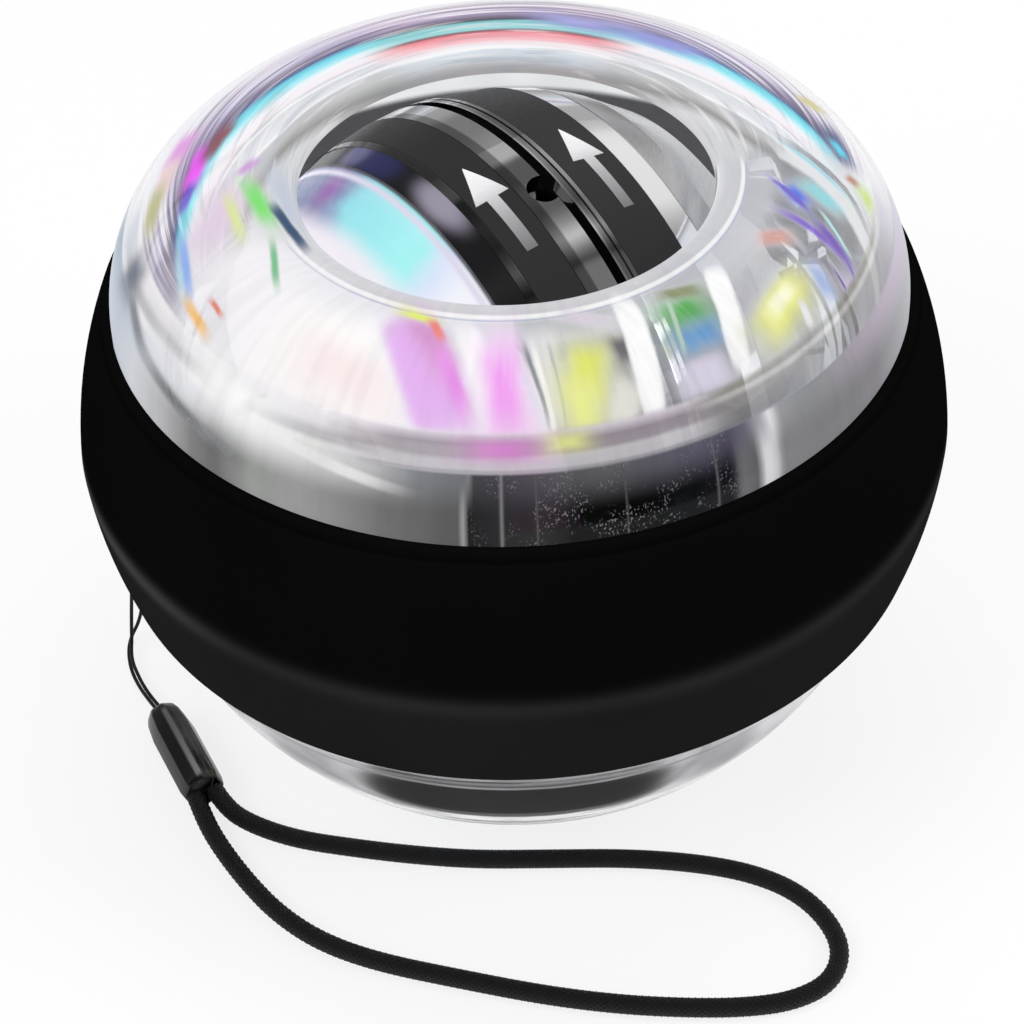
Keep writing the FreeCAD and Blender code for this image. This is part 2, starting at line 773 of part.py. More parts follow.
def make_end_ring():
    """The satin ring at the right end, with two facets."""
    body = turned_piece("end_ring", [
        ("right_half_end", SPRING_BAY),
        ("right_half_end", on_ball("right_half_end", "rim_line_depth")),
        ("right_half_end + rim_line_width", on_ball("right_half_end + rim_line_width")),
        ("facet_end", on_ball("facet_end")),
        ("rotor_reach", on_ball("rotor_reach")),
        ("rotor_reach", SPRING_BAY),
    ])
    drill_ring(body, "rotor_reach", "rotor_reach - right_half_end", SCREW_HOLE,
               SCREW_RING, "rotor_screw_count")
    drill_ring(body, "rotor_reach", "rotor_screw_sink + rotor_screw_head_height",
               "rotor_screw_head_radius + screw_gap", SCREW_RING,
               "rotor_screw_count")


def make_arrow_band(side, sign, start, end):
    near = sign + "(%s + inlay_gap)" % start
    far = sign + "(%s - inlay_gap)" % end
    depth = "band_inlay_depth - inlay_gap"
    turned_piece("arrow_band_" + side, [
        (near, on_ball(near, depth)),
        (near, on_ball(near)),
        (far, on_ball(far)),
        (far, on_ball(far, depth)),
    ])


def make_rotor_screws():
    head_seat = "(rotor_reach - rotor_screw_sink - rotor_screw_head_height)"
    tip = "(line_slot_left + rotor_screw_depth - screw_gap)"
    body = peg_ring("rotor_screws", head_seat, "rotor_screw_head_height",
                    "rotor_screw_head_radius", SCREW_RING, "rotor_screw_count")
    shank = new_sketch(body, "YZ_Plane", head_seat)
    draw_circle(shank, "0", SCREW_RING, "rotor_screw_radius")
    repeat_round(body, pad(body, shank, head_seat + " + " + tip, back=True), "X_Axis",
                 "rotor_screw_count")


# Light module at the left end of the rotor

def make_lens_bezel():
    turned_piece("lens_bezel", [
        ("-left_half_end", LIGHT_BAY),
        ("-left_half_end", on_ball("left_half_end", "inlay_gap")),
        ("-bezel_end", on_ball("bezel_end", "inlay_gap")),
        ("-bezel_end", on_ball("bezel_end", "bezel_wall")),
    ])


def make_light_lens():
    turned_piece("light_lens", [
        ("-bezel_end", on_ball("bezel_end", "lens_wall")),
        ("-bezel_end", on_ball("bezel_end", "inlay_gap")),
        ("-facet_end", on_ball("facet_end", "inlay_gap")),
        ("-rotor_reach", on_ball("rotor_reach")),
        ("-rotor_reach", SHAFT_BORE),
        ("lens_wall - rotor_reach", SHAFT_BORE),
        ("lens_wall - rotor_reach", on_ball("rotor_reach", "lens_wall")),
        ("-facet_end", on_ball("facet_end", "lens_wall")),
    ])


def make_light_hub():
    turned_piece("light_hub", [
        ("-light_bay_floor", SHAFT_BORE),
        ("-light_bay_floor", "light_hub_radius"),
        ("lens_wall - rotor_reach", "light_hub_radius"),
        ("lens_wall - rotor_reach", SHAFT_BORE),
    ])


BOARD_FACE = "-(light_bay_floor + board_thickness)"


def make_circuit_board():
    turned_piece("circuit_board", [
        ("-light_bay_floor", "light_hub_radius + inlay_gap"),
        ("-light_bay_floor", BOARD_RADIUS),
        (BOARD_FACE, BOARD_RADIUS),
        (BOARD_FACE, "light_hub_radius + inlay_gap"),
    ])


def make_board_chip():
    chip_end = DIODE_RING + " - diode_radius - chip_gap"
    body = new_body("board_chip", "axle_azimuth")
    sketch = new_sketch(body, "YZ_Plane", BOARD_FACE)
    draw_outline(sketch, [
        ("-chip_width / 2", chip_end + " - chip_length"),
        ("chip_width / 2", chip_end + " - chip_length"),
        ("chip_width / 2", chip_end),
        ("-chip_width / 2", chip_end),
    ])
    pad(body, sketch, "chip_height", back=True)


def make_light_parts():
    peg_ring("light_diodes", BOARD_FACE + " - diode_height", "diode_height", "diode_radius",
             DIODE_RING, "diode_count")
    peg_ring("pickup_coils", BOARD_FACE + " - coil_height", "coil_height", "coil_radius",
             "-coil_ring_radius", "coil_count", "coil_core_radius + inlay_gap")
    peg_ring("coil_cores", BOARD_FACE + " - coil_core_height", "coil_core_height",
             "coil_core_radius", "-coil_ring_radius", "coil_count")


# One-way clutch between the arbor and the rotor

def make_clutch():
    end = "clutch_floor + clutch_length"
    turned_piece("clutch_ring", [
        ("clutch_floor", "clutch_radius - clutch_ring_wall"),
        ("clutch_floor", "clutch_radius"),
        (end, "clutch_radius"),
        (end, "clutch_radius - clutch_ring_wall"),
    ])
    peg_ring("clutch_rollers", "clutch_floor + roller_margin",
             "clutch_length - 2 * roller_margin", "roller_radius",
             "journal_radius + running_gap + roller_radius", "roller_count")


# Strap: a thin loop through the lug, a bead, and the wrist cord

LOOP_ROUTE = [
    (-33.1, -4.99, 2.05), (-34.32, -2.77, 1.5), (-35.55, -0.21, 0.9), (-36.43, 2.22, 0.45),
    (-36.85, 4.3, 0.2), (-36.95, 5.75, 0.2), (-36.64, 6.7, 0.75), (-35.97, 6.98, 1.9),
    (-35.4, 7.4, 3.7), (-35.0, 9.1, 8.6), (-34.3, 9.2, 12.8), (-33.75, 8.95, 17.3),
    (-33.63, 8.69, 20.65), (-34.25, 5.75, 20.65), (-34.45, 5.8, 17.3), (-35.05, 6.2, 13.2),
    (-35.75, 6.67, 8.8), (-36.29, 6.78, 4.6), (-36.45, 5.89, 2.6), (-36.51, 5.24, 1.4),
    (-36.53, 4.23, 0.95), (-36.36, 3.1, 0.75), (-35.9, 1.77, 0.75), (-35.08, -0.33, 1.0),
    (-33.89, -2.78, 1.5), (-32.7, -4.81, 2.05),
]

CORD_ROUTE = [
    (-27.6, -14.44, 2.0), (-26.5, -16.3, 1.5), (-24.2, -17.9, 1.0), (-20.2, -19.7, 0.87),
    (-15.2, -20.9, 0.87), (-10.2, -21.9, 0.87), (-4.6, -22.7, 0.87), (2.2, -22.9, 0.87),
    (8.6, -23.1, 0.87), (14.4, -23.9, 0.87), (19.0, -25.2, 0.87), (22.6, -27.3, 0.87),
    (25.0, -30.4, 0.87), (26.0, -34.0, 0.87), (24.7, -37.3, 0.87), (21.4, -39.1, 0.87),
    (17.2, -39.6, 0.87), (12.2, -39.4, 0.87), (6.8, -38.8, 0.87), (0.8, -37.6, 0.87),
    (-5.9, -35.7, 0.87), (-12.9, -33.6, 0.87), (-17.8, -31.2, 0.87), (-21.5, -28.0, 0.87),
    (-24.4, -24.2, 0.87), (-26.8, -20.4, 1.0), (-28.3, -17.6, 1.5), (-29.2, -15.16, 2.0),
]


# The bead lies between the ends of both cords
BEAD_TOP = (Vector(*LOOP_ROUTE[0]) + Vector(*LOOP_ROUTE[-1])) / 2
BEAD_MOUTH = (Vector(*CORD_ROUTE[0]) + Vector(*CORD_ROUTE[-1])) / 2


def cord_path(label, route):
    """Straight runs joined by arcs that take 0.45 of the shorter run at each point."""
    run_share = 0.45
    points = [Vector(*point) for point in route]
    edges, radii = [], []
    last_end = points[0]
    for before, here, after in zip(points, points[1:], points[2:]):
        inward = (before - here).normalize()
        outward = (after - here).normalize()
        shorter = min(before.distanceToPoint(here), here.distanceToPoint(after))
        half_turn = (math.pi - inward.getAngle(outward)) / 2
        radius = run_share * shorter / math.tan(half_turn)
        start = here + inward * run_share * shorter
        end = here + outward * run_share * shorter
        bisector = (inward + outward).normalize()
        sagitta = radius / math.cos(half_turn) - radius
        edges.append(Part.LineSegment(last_end, start).toShape())
        edges.append(Part.Arc(start, here + bisector * sagitta, end).toShape())
        radii.append(radius)
        last_end = end
    edges.append(Part.LineSegment(last_end, points[-1]).toShape())
    print("%s arc radii" % label, " ".join("%.1f" % radius for radius in radii))
    return Part.Wire(edges)


def make_cord(label, route, radius_name):
    radius = size(radius_name)
    path = cord_path(label, route)
    heading = Vector(*route[1]) - Vector(*route[0])
    section = Part.Wire(Part.makeCircle(radius, Vector(*route[0]), heading))
    tube = path.makePipeShell([section], True, False)
    cord = doc.addObject("Part::Feature", label)
    cord.Label = label
    cord.Shape = tube
    expected = math.pi * radius ** 2 * path.Length
    print("%s length %.1f volume ratio %.4f" % (label, path.Length, tube.Volume / expected))


def make_lanyard_bead():
    """A barrel with flat sides, narrow where the thin loop enters."""
    along = BEAD_MOUTH - BEAD_TOP
    turn = Rotation(Vector(0, 0, 1), along)
    sides = int(size("bead_facets"))
    length = along.Length

    def ring(radius, rise):
        corners = [Vector(radius * math.cos(2 * math.pi * side / sides),
                          radius * math.sin(2 * math.pi * side / sides), rise)
                   for side in range(sides)]
        return Part.makePolygon(corners + corners[:1])

    rings = [
        ring(size("bead_top_radius"), 0),
        ring(size("bead_radius"), size("bead_taper_length")),
        ring(size("bead_radius"), length - size("bead_mouth_length")),
        ring(size("bead_mouth_radius"), length),
    ]
    bead = doc.addObject("Part::Feature", "lanyard_bead")
    bead.Label = "lanyard_bead"
    bead.Shape = Part.makeLoft(rings, True, True)
    bead.Placement = Placement(BEAD_TOP, turn)


make_lower_shell()
make_upper_shell()
make_grip_band()
make_carrier_ring()
make_axle_bush("left", "-")
make_axle_bush("right", "")
make_generator_magnets()
make_spring_barrel()
make_barrel_cover()
make_barrel_screws()
make_mainspring()
make_spring_arbor()
make_axle()
make_thrust_washer()
make_rotor_core()
make_rotor_half_left()
make_rotor_half_right()
make_end_ring()
make_arrow_band("left", "-", "left_band_start", "left_band_end")
make_arrow_band("right", "", "right_band_start", "right_band_end")
make_rotor_screws()
make_lens_bezel()
make_light_lens()
make_light_hub()
make_circuit_board()
make_board_chip()
make_light_parts()
make_clutch()
make_lanyard_bead()
make_cord("lanyard_loop", LOOP_ROUTE, "loop_cord_radius")
make_cord("wrist_cord", CORD_ROUTE, "wrist_cord_radius")

doc.recompute()

for item in doc.Objects:
    if "Invalid" in item.State or "Error" in item.State:
        raise RuntimeError("%s failed: %s" % (item.Name, item.State))

pieces = [item for item in doc.Objects if item.TypeId in ("PartDesign::Body", "Part::Feature")]
for piece in pieces:
    if piece.Shape.isNull() or not piece.Shape.isValid():
        raise RuntimeError("%s has no sound shape" % piece.Label)

os.makedirs("parts", exist_ok=True)
for piece in pieces:
    piece.Shape.exportStep("parts/%s.step" % piece.Label)
    print("%s: %d solids, %.1f mm3" % (piece.Label, len(piece.Shape.Solids), piece.Shape.Volume))
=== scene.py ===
import math

import bmesh
import bpy
import numpy as np
from mathutils import Matrix, Vector


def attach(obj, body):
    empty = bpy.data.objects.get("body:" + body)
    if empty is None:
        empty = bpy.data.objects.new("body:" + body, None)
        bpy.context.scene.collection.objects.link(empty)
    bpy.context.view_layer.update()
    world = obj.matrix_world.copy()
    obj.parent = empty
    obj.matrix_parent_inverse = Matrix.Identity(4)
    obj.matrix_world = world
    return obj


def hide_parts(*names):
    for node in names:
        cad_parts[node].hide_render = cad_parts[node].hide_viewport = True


# Gyroscopic wrist ball: clear shells, black grip band, bright rotor with a glowing lens, strap.
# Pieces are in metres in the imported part's own frame; outlines and cord routes are in millimetres.

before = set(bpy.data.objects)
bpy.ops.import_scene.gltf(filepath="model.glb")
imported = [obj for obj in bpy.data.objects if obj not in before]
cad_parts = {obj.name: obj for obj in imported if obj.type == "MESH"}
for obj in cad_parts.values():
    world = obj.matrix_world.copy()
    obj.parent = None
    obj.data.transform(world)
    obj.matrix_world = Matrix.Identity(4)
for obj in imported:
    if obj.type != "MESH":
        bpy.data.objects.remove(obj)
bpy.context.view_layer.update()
scene = bpy.context.scene
mm = 0.001
grooveHeight = 34.8  # mm, middle of the ball above the surface
axleTurn = math.radians(34)  # the axle's direction in plan
axleFrame = Matrix.Translation((0, 0, grooveHeight * mm)) @ Matrix.Rotation(axleTurn, 4, "Z")
ballFrame = Matrix.Translation((0, 0, grooveHeight * mm))
print("frame loaded: %d nodes" % len(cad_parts))

# Camera

camera = {
    "place": (0.0, -0.18335, 0.18691),
    "ahead": (-0.00174, 0.74097, -0.67153),
    "up": (0.03330, 0.67120, 0.74052),
    "lens": 99.07,
    "nearest": 0.01,
}


def makeCamera():
    data = bpy.data.cameras.new("camera")
    data.lens = camera["lens"]
    data.sensor_width = 36
    data.clip_start = camera["nearest"]
    body = bpy.data.objects.new("camera", data)
    scene.collection.objects.link(body)
    ahead = Vector(camera["ahead"]).normalized()
    right = ahead.cross(Vector(camera["up"])).normalized()
    turn = Matrix((right, right.cross(ahead), -ahead)).transposed().to_4x4()
    body.matrix_world = Matrix.Translation(camera["place"]) @ turn
    scene.camera = body


makeCamera()

# Shader helpers


class Signal:  # a value in a node tree, for sums written as Python
    def __init__(self, paint, socket):
        self.paint = paint
        self.socket = socket

    def join(self, operation, other):
        return self.paint.maths(operation, self, other)

    def __add__(self, other):
        return self.join("ADD", other)

    def __sub__(self, other):
        return self.join("SUBTRACT", other)

    def __mul__(self, other):
        return self.join("MULTIPLY", other)

    def __truediv__(self, other):
        return self.join("DIVIDE", other)

    def __pow__(self, other):
        return self.join("POWER", other)

    def __radd__(self, other):
        return self.paint.maths("ADD", other, self)

    def __rsub__(self, other):
        return self.paint.maths("SUBTRACT", other, self)

    def __rmul__(self, other):
        return self.paint.maths("MULTIPLY", other, self)

    def __neg__(self):
        return self.paint.maths("MULTIPLY", self, -1.0)


class Paint:  # a material and the nodes that it is made of
    def __init__(self, name, owner=None):
        self.material = owner or bpy.data.materials.new(name)
        self.material.use_nodes = True
        self.tree = self.material.node_tree
        self.tree.nodes.clear()

    def node(self, kind, settings=None, sockets=None, out=0):
        made = self.tree.nodes.new("ShaderNode" + kind)
        for key, value in (settings or {}).items():
            if key == "stops":
                ramp = made.color_ramp
                while len(ramp.elements) < len(value):
                    ramp.elements.new(0.5)
                for element, (place, colour) in zip(ramp.elements, value):
                    element.position = place
                    element.color = (*colour, 1)
            else:
                setattr(made, key, value)
        for key, value in (sockets or {}).items():
            if isinstance(value, Signal):
                self.tree.links.new(value.socket, made.inputs[key])
            else:
                made.inputs[key].default_value = value
        return Signal(self, made.outputs[out])

    def maths(self, operation, first, second=0.0):
        return self.node("Math", {"operation": operation}, {0: first, 1: second})

    def vector(self, operation, first, second=(0, 0, 0), out=0):
        return self.node("VectorMath", {"operation": operation},
                         {0: first, 1: second}, out)

    def degrees(self, up, across):
        return self.maths("ARCTAN2", up, across) * (180 / math.pi)

    def dot(self, first, second):
        return self.vector("DOT_PRODUCT", first, second, out=1)

    def place(self):
        return self.node("TexCoord", out=3)

    def split(self, vector):
        return [self.node("SeparateXYZ", None, {0: vector}, out) for out in range(3)]

    def aboutAxle(self):
        # mm along the axle, mm from it, and degrees about it from the back over the top
        here = self.place()
        along = self.dot(here, (math.cos(axleTurn) / mm, math.sin(axleTurn) / mm, 0))
        across = self.dot(here, (-math.sin(axleTurn) / mm, math.cos(axleTurn) / mm, 0))
        up = self.split(here)[2] / mm - grooveHeight
        out = self.maths("POWER", across * across + up * up, 0.5)
        return along, out, self.degrees(up, across)

    def combine(self, x, y, z):
        return self.node("CombineXYZ", None, {0: x, 1: y, 2: z})

    def noise(self, vector, scale, detail=2.0, rough=0.5):
        return self.node("TexNoise", None,
                         {"Vector": vector, "Scale": scale, "Detail": detail, "Roughness": rough})

    def span(self, value, low, high, toLow=0.0, toHigh=1.0):
        return self.node("MapRange", {"interpolation_type": "SMOOTHSTEP"},
                         {0: value, 1: low, 2: high, 3: toLow, 4: toHigh})

    def mix(self, share, first, second):
        colours = [value if isinstance(value, Signal) else (*value, 1)
                   for value in (first, second)]
        return self.node("Mix", {"data_type": "RGBA"},
                         {0: share, 6: colours[0], 7: colours[1]}, out=2)

    def fall(self, off):
        # 1 where off is 0, falling to nothing past 1
        return self.maths("POWER", math.exp(-1), off)

    def fade(self, distance, width):
        share = distance / width
        return self.fall(share * share)

    def patch(self, flat, middle, sizes, turn=0.0, crisp=1.0):
        # 1 inside a rounded rectangle of the plane, falling to nothing past its edge
        off = 0.0
        for angle, size in zip((turn, turn + 90), sizes):
            toward = (math.cos(math.radians(angle)) / size, math.sin(math.radians(angle)) / size, 0)
            start = middle[0] * toward[0] + middle[1] * toward[1]
            off = (self.dot(flat, toward) - start) ** 4.0 + off
        return self.fall(off ** crisp)

    def ramp(self, value, low, high, stops):
        # the colour of a value that lies between low and high
        places = [((place - low) / (high - low), colour) for place, colour in stops]
        return self.node("ValToRGB", {"stops": places}, {0: (value - low) / (high - low)})

    def bump(self, height, strength, distance):
        return self.node("Bump", None,
                         {"Height": height, "Strength": strength, "Distance": distance})

    def surface(self, **sockets):
        named = {key.replace("_", " "): value for key, value in sockets.items()}
        for key in ("Base Color", "Emission Color"):
            if key in named and not isinstance(named[key], Signal):
                named[key] = (*named[key], 1)
        return self.node("BsdfPrincipled", None, named)


def outputOf(paint, shader, kind="OutputMaterial"):
    made = paint.tree.nodes.new("ShaderNode" + kind)
    paint.tree.links.new(shader.socket, made.inputs["Surface"])
    return paint.material


def shown(colour):
    # a colour in percent as a screen shows it, turned into light
    parts = [part / 100 for part in colour]
    light = [part / 12.92 if part < 0.04045 else ((part + 0.055) / 1.055) ** 2.4 for part in parts]
    return light * 3 if len(light) == 1 else light


def shownStops(stops):
    return [(place, shown(colour)) for place, *colour in stops]


# Mesh helpers


def addPiece(name, mesh, place=None, materials=()):
    piece = bpy.data.objects.new(name, mesh)
    scene.collection.objects.link(piece)
    if place is not None:
        piece.matrix_world = place
    for material in materials:
        mesh.materials.append(material)
    return piece


def newMesh(name, vertices, faces):
    mesh = bpy.data.meshes.new(name)
    mesh.from_pydata(vertices, [], faces)
    return mesh


def smoothMesh(mesh, sharpest):
    # round to the eye, but for the edges that turn by more than sharpest degrees
    mesh.polygons.foreach_set("use_smooth", [True] * len(mesh.polygons))
    if sharpest:
        mesh.set_sharp_from_angle(angle=math.radians(sharpest))
    mesh.update()
    return mesh


def tubeFaces(rings, sides, closed):
    # faces between rings of vertices, with the last ring joined to the first, or else with two caps
    faces = []
    for ring in range(rings if closed else rings - 1):
        start, above = ring * sides, (ring + 1) % rings * sides
        for side in range(sides):
            after = (side + 1) % sides
            faces.append([start + side, start + after, above + after, above + side])
    if not closed:
        faces += [list(range(sides))[::-1], list(range((rings - 1) * sides, rings * sides))]
    return faces


def arcPoints(first, last, radius, steps):
    start, end = (first, last) if radius > 0 else (last, first)
    chord = (end[0] - start[0], end[1] - start[1])
    length = math.hypot(*chord)
    rise = math.sqrt(max(radius ** 2 - (length / 2) ** 2, 0))
    middle = ((start[0] + end[0]) / 2 - chord[1] / length * rise,
              (start[1] + end[1]) / 2 + chord[0] / length * rise)
    angles = [math.atan2(point[1] - middle[1], point[0] - middle[0]) for point in (start, end)]
    if angles[1] < angles[0]:
        angles[1] += 2 * math.pi
    turns = [angles[0] + (angles[1] - angles[0]) * step / steps for step in range(1, steps)]
    points = [(middle[0] + abs(radius) * math.cos(turn), middle[1] + abs(radius) * math.sin(turn))
              for turn in turns]
    return points if radius > 0 else points[::-1]


def outlinePoints(corners, steps=16):
    points = []
    for index, corner in enumerate(corners):
        points.append(corner[:2])
        if len(corner) == 3:
            last = corners[(index + 1) % len(corners)][:2]
            points += arcPoints(corner[:2], last, corner[2], steps)
    return points


def softened(points, radius, sharpest=20, steps=4):
    # small arcs in place of the corners that turn by more than sharpest degrees
    soft = []
    for index, here in enumerate(points):
        before, after = Vector(points[index - 1]), Vector(points[(index + 1) % len(points)])
        here = Vector(here)
        inward, outward = before - here, after - here
        turn = math.pi - inward.angle(outward)
        if math.degrees(turn) < sharpest:
            soft.append(tuple(here))
            continue
        reach = min(radius * math.tan(turn / 2), 0.45 * inward.length, 0.45 * outward.length)
        start, end = here + inward.normalized() * reach, here + outward.normalized() * reach
        for step in range(steps + 1):
            share = step / steps
            soft.append(tuple((1 - share) ** 2 * start + 2 * share * (1 - share) * here
                              + share ** 2 * end))
    return soft


def finished(mesh):
    work = bmesh.new()
    work.from_mesh(mesh)
    bmesh.ops.remove_doubles(work, verts=work.verts, dist=1e-7)
    bmesh.ops.recalc_face_normals(work, faces=work.faces)
    work.to_mesh(mesh)
    work.free()
    return smoothMesh(mesh, 30)


def turned(name, points, sides=192):
    # a solid turned about Z from a closed outline of (radius, height) in mm
    turns = np.linspace(0, 2 * math.pi, sides, endpoint=False)
    vertices = [(radius * math.cos(turn) * mm, radius * math.sin(turn) * mm, height * mm)
                for radius, height in points for turn in turns]
    return finished(newMesh(name, vertices, tubeFaces(len(points), sides, True)))


def paintNode(node, material):
    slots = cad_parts[node].data.materials
    slots.clear()
    slots.append(material)


# Strap: cords first, their routes in mm

thinLoop = {
    "diameter": 0.00034,
    "length": 0.066,
    "route": [
        (-33.1, -4.99, 2.05), (-34.32, -2.77, 1.5), (-35.55, -0.21, 0.9), (-36.43, 2.22, 0.45),
        (-36.85, 4.3, 0.2), (-36.95, 5.75, 0.2), (-36.64, 6.7, 0.75), (-35.97, 6.98, 1.9), (-35.4, 7.4, 3.7),
        (-35, 9.1, 8.6), (-34.3, 9.2, 12.8), (-33.75, 8.95, 17.3), (-33.63, 8.69, 20.65),
        (-34.25, 5.75, 20.65), (-34.45, 5.8, 17.3), (-35.05, 6.2, 13.2), (-35.75, 6.67, 8.8),
        (-36.29, 6.78, 4.6), (-36.45, 5.89, 2.6), (-36.51, 5.24, 1.4), (-36.53, 4.23, 0.95),
        (-36.36, 3.1, 0.75), (-35.9, 1.77, 0.75), (-35.08, -0.33, 1), (-33.89, -2.78, 1.5),
        (-32.7, -4.81, 2.05),
    ],
}

wristCord = {
    "diameter": 0.0017,
    "length": 0.128,
    "strands": 12,
    "strandRise": 0.18,  # share of the radius
    "pitch": 0.0011,
    "sides": 72,
    "ringGap": 0.0001,
    "height": 0.87,  # mm, where the route gives none
    "route": [
        (-27.6, -14.44, 2), (-26.5, -16.3, 1.5), (-24.2, -17.9, 1), (-20.2, -19.7), (-15.2, -20.9),
        (-10.2, -21.9), (-4.6, -22.7), (2.2, -22.9), (8.6, -23.1), (14.4, -23.9), (19, -25.2), (22.6, -27.3),
        (25, -30.4), (26, -34), (24.7, -37.3), (21.4, -39.1), (17.2, -39.6), (12.2, -39.4), (6.8, -38.8),
        (0.8, -37.6), (-5.9, -35.7), (-12.9, -33.6), (-17.8, -31.2), (-21.5, -28), (-24.4, -24.2),
        (-26.8, -20.4, 1), (-28.3, -17.6, 1.5), (-29.2, -15.16, 2),
    ],
}


def routeOf(settings):
    points = [point if len(point) == 3 else (*point, settings["height"]) for point in settings["route"]]
    return [tuple(round(part * mm, 6) for part in point) for point in points]


def cordPaint(name, colour, scale):
    paint = Paint(name)
    here = paint.place()
    fuzz = paint.noise(here, scale, 3.0)
    shade = paint.mix(fuzz, [0.5 * part for part in colour], [1.6 * part for part in colour])
    shader = paint.surface(Base_Color=shade, Roughness=0.5, Specular_IOR_Level=0.28,
                           Normal=paint.bump(fuzz, 0.3, 0.00006))
    return outputOf(paint, shader)


def cordSpline(name, route):
    data = bpy.data.curves.new(name, "CURVE")
    data.dimensions = "3D"
    spline = data.splines.new("NURBS")
    spline.points.add(len(route) - 1)
    for knot, point in zip(spline.points, route):
        knot.co = (*point, 1)
    spline.order_u = 3
    spline.use_endpoint_u = True
    data.resolution_u = 16
    return data


def centreline(name, route):
    # the smooth line of a route, as evenly spaced points
    data = cordSpline(name, route)
    helper = bpy.data.objects.new(name, data)
    scene.collection.objects.link(helper)
    bpy.context.view_layer.update()
    line = bpy.data.meshes.new_from_object(helper)
    points = np.array([vertex.co for vertex in line.vertices], float)
    bpy.data.objects.remove(helper)
    bpy.data.meshes.remove(line)
    bpy.data.curves.remove(data)
    return points


def evenly(points, gap):
    steps = np.linalg.norm(np.diff(points, axis=0), axis=1)
    along = np.concatenate([[0], np.cumsum(steps)])
    places = np.linspace(0, along[-1], max(2, int(along[-1] / gap)) + 1)
    return places, np.stack([np.interp(places, along, points[:, part]) for part in range(3)], 1)


def carriedFrames(points):
    # two directions square to the line at each point, carried along it without twist
    ahead = np.gradient(points, axis=0)
    ahead /= np.linalg.norm(ahead, axis=1)[:, None]
    side = np.cross(ahead[0], (0, 0, 1.0))
    side /= np.linalg.norm(side)
    sides = []
    for direction in ahead:
        side = side - direction * (side @ direction)
        side /= np.linalg.norm(side)
        sides.append(side)
    sides = np.array(sides)
    return sides, np.cross(ahead, sides)


def braidedTube(name, points, settings):
    # over and under strands of two hands, pressed into the tube's wall
    along, centres = evenly(points, settings["ringGap"])
    side, rise = carriedFrames(centres)
    count = settings["sides"]
    turns = np.linspace(0, 2 * math.pi, count, endpoint=False)
    around = turns[None, :] / (2 * math.pi) * settings["strands"]
    run = along[:, None] / settings["pitch"] * 2
    right, left = around + run, around - run
    over = (np.floor(right) + np.floor(left)) % 2 == 0
    across = np.where(over, right, left) % 1 - 0.5
    lengthwise = np.where(over, left, right) % 1 - 0.5
    yarn = 0.8 + 0.2 * np.abs(np.cos(2 * math.pi * across))
    height = np.sqrt(np.clip(1 - (2 * across) ** 2, 0, 1))
    height = height * (0.7 + 0.3 * np.cos(2 * math.pi * lengthwise))
    radius = settings["diameter"] / 2 * (1 - settings["strandRise"] * (1 - height * yarn))
    rings = (centres[:, None, :] + side[:, None, :] * (radius * np.cos(turns)[None, :])[..., None]
             + rise[:, None, :] * (radius * np.sin(turns)[None, :])[..., None])
    faces = tubeFaces(len(centres), count, False)
    return smoothMesh(newMesh(name, rings.reshape(-1, 3).tolist(), faces), None)


bead = {
    "top": (-0.0329, -0.0049, 0.00205),
    "mouth": (-0.0284, -0.0148, 0.00205),
    "facets": 8,
    "rings": [(0.0, 1.2), (0.35, 1.5), (1.2, 1.78), (3.2, 2.0), (10.0, 2.0), (10.87, 1.85)],
    "mouthDepth": 1.2,
    "mouthWall": 0.3,
    "edge": 0.13,
    "colour": (0.003, 0.003, 0.0033),
    "highlightToward": (-0.07, -0.03, 1.0),
    # painted highlight stripes, as emission: degrees from there about the bead, half width, level in percent
    # as shown
    "paintedHighlights": [(0.0, 8.0, 42), (-26.0, 1.5, 20), (-42.0, 1.5, 20)],
    "highlightEnds": (0.0008, 0.0016, 0.0107, 0.0101),  # m along it: none and full, at either end
    "highlightLoss": (0.003, 0.0106, 0.45, 0.0),  # m along it, and the share that is lost there
    "bevelFrom": 12,  # degrees
    "sharpest": 40,
}


